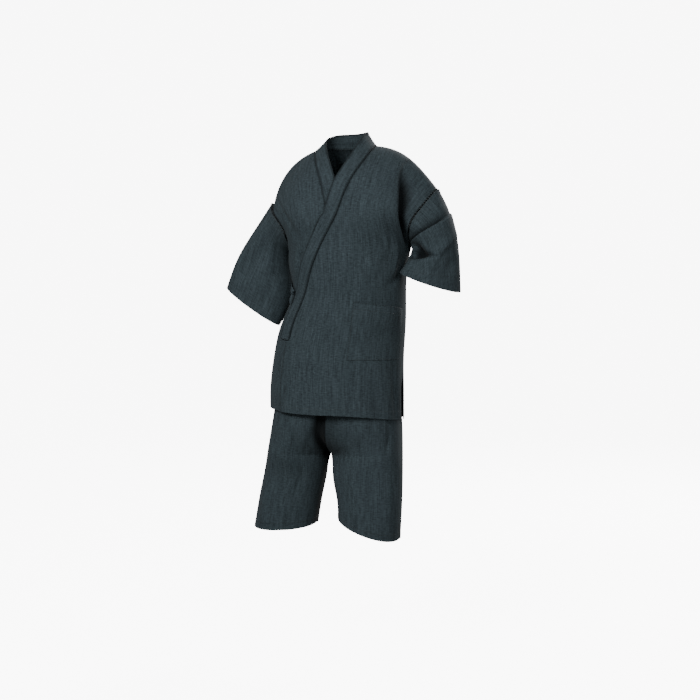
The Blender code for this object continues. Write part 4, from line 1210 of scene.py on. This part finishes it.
def knot_mesh(mid, way, out, side):
    """The tie's knot: a roll of cloth, waisted where the strap is drawn through it, with wound wrinkles."""
    around = circle(36)
    along = np.linspace(-1, 1, 31)
    grid = np.zeros((31, 36, 3))
    for i, a in enumerate(along):
        size = KNOT_ROUND * (1 - 0.18 * math.cos(math.pi * a)) * math.sqrt(1.08 - a * a)
        lean = 0.0015 * math.sin(2.2 * a)
        fold = 1 + 0.07 * np.sin(3 * around + 5.0 * a)
        fold = fold - 0.10 * bell(a - 0.45 * np.sin(around), 0.10)
        ring = np.cos(around)[:, None] * way * 1.25 + np.sin(around)[:, None] * out
        grid[i] = mid + side * (a * KNOT_HALF) + way * lean + ring * (size * fold)[:, None]
    if np.sum(grid_normals(grid, True) * (grid - mid)) < 0:
        grid = grid[:, ::-1]
    rows, cols = grid.shape[:2]
    faces = quads(rows, cols, True)[2].tolist()
    faces.append(list(reversed(range(cols))))
    faces.append([(rows - 1) * cols + s for s in range(cols)])
    return grid.reshape(-1, 3), faces


def add_weave(ob):
    """A weave map straight from the front, for a small rolled piece."""
    mesh = ob.data
    layer = mesh.uv_layers.new(name="Weave")
    at = np.array([mesh.vertices[c.vertex_index].co[:] for c in mesh.loops])
    layer.data.foreach_set("uv", (at[:, [0, 2]] + at[:, [1, 1]] * 0.6).astype(np.float32).ravel())


# Materials


def new_material(name):
    """A material with its node tree and its shader."""
    material = bpy.data.materials.new(name)
    material.use_nodes = True
    return material, material.node_tree, material.node_tree.nodes["Principled BSDF"]


def set_inputs(node, values):
    """Sets a node's inputs by their names."""
    for socket, value in values.items():
        node.inputs[socket].default_value = value


def add_noise(tree, place, scale=1.0, detail=2.0, rough=0.5):
    tex = tree.nodes.new("ShaderNodeTexNoise")
    set_inputs(tex, {"Scale": scale, "Detail": detail, "Roughness": rough})
    tree.links.new(place, tex.inputs["Vector"])
    return tex.outputs["Fac"]


def add_ramp(tree, value, low, high, ends=(0.0, 1.0)):
    ramp = tree.nodes.new("ShaderNodeValToRGB")
    for element, position, color in zip(ramp.color_ramp.elements, ends, (low, high)):
        element.position = position
        element.color = (*color, 1)
    tree.links.new(value, ramp.inputs["Fac"])
    return ramp.outputs["Color"]


def add_bump(tree, shader, height, distance, strength):
    bump = tree.nodes.new("ShaderNodeBump")
    set_inputs(bump, {"Strength": strength, "Distance": distance})
    tree.links.new(height, bump.inputs["Height"])
    tree.links.new(bump.outputs["Normal"], shader.inputs["Normal"])


def add_sum(tree, parts):
    """Sum of values, each with its weight."""
    total = None
    for value, weight in parts:
        node = tree.nodes.new("ShaderNodeMath")
        node.operation = "MULTIPLY_ADD"
        tree.links.new(value, node.inputs[0])
        node.inputs[1].default_value = weight
        node.inputs[2].default_value = 0.0
        if total is not None:
            tree.links.new(total, node.inputs[2])
        total = node.outputs[0]
    return total


def cloth_material():
    """Dark slubbed cotton: warp streaks, crosswise slubs and a fine crinkle, from the Weave map in metres."""
    material, tree, shader = new_material("slub_cotton")
    uv = tree.nodes.new("ShaderNodeUVMap")
    uv.uv_map = "Weave"
    layers = {}
    for name, across, along, detail, rough, shift in WEAVE:
        scale = tree.nodes.new("ShaderNodeMapping")
        location = (shift, shift * 0.7, shift * 0.3)
        set_inputs(scale, {"Scale": (1 / across, 1 / along, 1), "Location": location})
        tree.links.new(uv.outputs["UV"], scale.inputs["Vector"])
        layers[name] = add_noise(tree, scale.outputs["Vector"], 1.0, detail, rough)
    tone = add_sum(tree, [(layers[name], weight) for name, weight in WEAVE_TONE])
    color = add_ramp(tree, tone, CLOTH_DARK, CLOTH_LIGHT, (0.34, 0.66))
    # painted shade: the point attribute of sewn lines and painted shade multiplies the colour towards the
    # shade colour
    mark = tree.nodes.new("ShaderNodeAttribute")
    mark.attribute_name = "Seam"
    sewn = tree.nodes.new("ShaderNodeMix")
    sewn.data_type = "RGBA"
    sewn.blend_type = "MULTIPLY"
    sewn.inputs["B"].default_value = SEAM_AND_PAINTED_SHADE
    tree.links.new(mark.outputs["Fac"], sewn.inputs["Factor"])
    tree.links.new(color, sewn.inputs["A"])
    tree.links.new(sewn.outputs["Result"], shader.inputs["Base Color"])
    rough = tree.nodes.new("ShaderNodeMapRange")
    set_inputs(rough, {"To Min": 0.78, "To Max": 0.97})
    tree.links.new(layers["slub"], rough.inputs["Value"])
    tree.links.new(rough.outputs["Result"], shader.inputs["Roughness"])
    height = add_sum(tree, [(layers[name], weight) for name, weight in WEAVE_HEIGHT])
    add_bump(tree, shader, height, 0.0006, 0.35)
    set_inputs(shader, {"Specular IOR Level": 0.12, "Sheen Weight": 0.015, "Sheen Roughness": 0.5})
    return material


def lace_material(name):
    """Twisted dark cotton thread."""
    material, tree, shader = new_material(name)
    place = tree.nodes.new("ShaderNodeTexCoord")
    twist = add_noise(tree, place.outputs["Object"], 900)
    color = add_ramp(tree, twist, (0.006, 0.008, 0.009), (0.030, 0.037, 0.040))
    tree.links.new(color, shader.inputs["Base Color"])
    add_bump(tree, shader, twist, 0.0002, 1.0)
    shader.inputs["Roughness"].default_value = 0.8
    return material


def floor_material():
    """White paper, a little uneven, lit to near white."""
    material, tree, shader = new_material("pale_floor")
    place = tree.nodes.new("ShaderNodeTexCoord")
    grain = add_noise(tree, place.outputs["Generated"], 3)
    color = add_ramp(tree, grain, (0.86, 0.86, 0.86), (0.90, 0.90, 0.90))
    tree.links.new(color, shader.inputs["Base Color"])
    set_inputs(shader, {"Roughness": 0.9, "Emission Color": (1, 1, 1, 1), "Emission Strength": WHITE})
    return material


# Stage


def build_room():
    """A white seamless room round the object, which casts no light of its own on the cloth."""
    around = circle(64)
    grid = np.array([[(r * math.cos(a), r * math.sin(a), FLOOR + z) for a in around] for r, z in ROOM])
    faces = quads(*grid.shape[:2], True)[2][:, [0, 3, 2, 1]]
    ob = add_mesh("stage", grid.reshape(-1, 3), faces.tolist(), floor_material())
    ob.visible_diffuse = False
    ob.visible_glossy = False
    ob.visible_shadow = False


def build_lights():
    world = bpy.data.worlds.new("studio")
    bpy.context.scene.world = world
    world.use_nodes = True
    back = world.node_tree.nodes["Background"]
    set_inputs(back, {"Color": (1, 1, 1, 1), "Strength": AMBIENT})
    for name, place, size, power in LIGHTS:
        light = bpy.data.lights.new(name, "AREA")
        light.shape = "DISK"
        light.size = size
        light.energy = power
        ob = add_object(name, light)
        ob.visible_camera = False
        ob.location = place
        ob.rotation_euler = (AIM - Vector(place)).to_track_quat("-Z", "Y").to_euler()


def build_camera():
    a = math.radians(CAMERA_TURN)
    aim = Vector((CAMERA_SIDE * math.cos(a), CAMERA_SIDE * math.sin(a), CAMERA_LOOK))
    spot = Vector((aim.x + CAMERA_FAR * math.sin(a), aim.y - CAMERA_FAR * math.cos(a), CAMERA_HEIGHT))
    cam = bpy.data.cameras.new("camera")
    cam.lens = CAMERA_LENS
    cam.sensor_width = 36
    ob = add_object("camera", cam)
    ob.location = spot
    ob.rotation_euler = (aim - spot).to_track_quat("-Z", "Y").to_euler()
    bpy.context.scene.camera = ob


MATERIALS = {
    "cloth": cloth_material(),
    "lace": lace_material("lace_thread"),
    "thread": lace_material("sewing_thread"),
}
build_camera()
build_fronts()
build_backs()
build_collar()
build_pocket()
build_sleeves()
build_shorts()
build_waistband()
build_ties()
build_laces()
build_room()
build_lights()
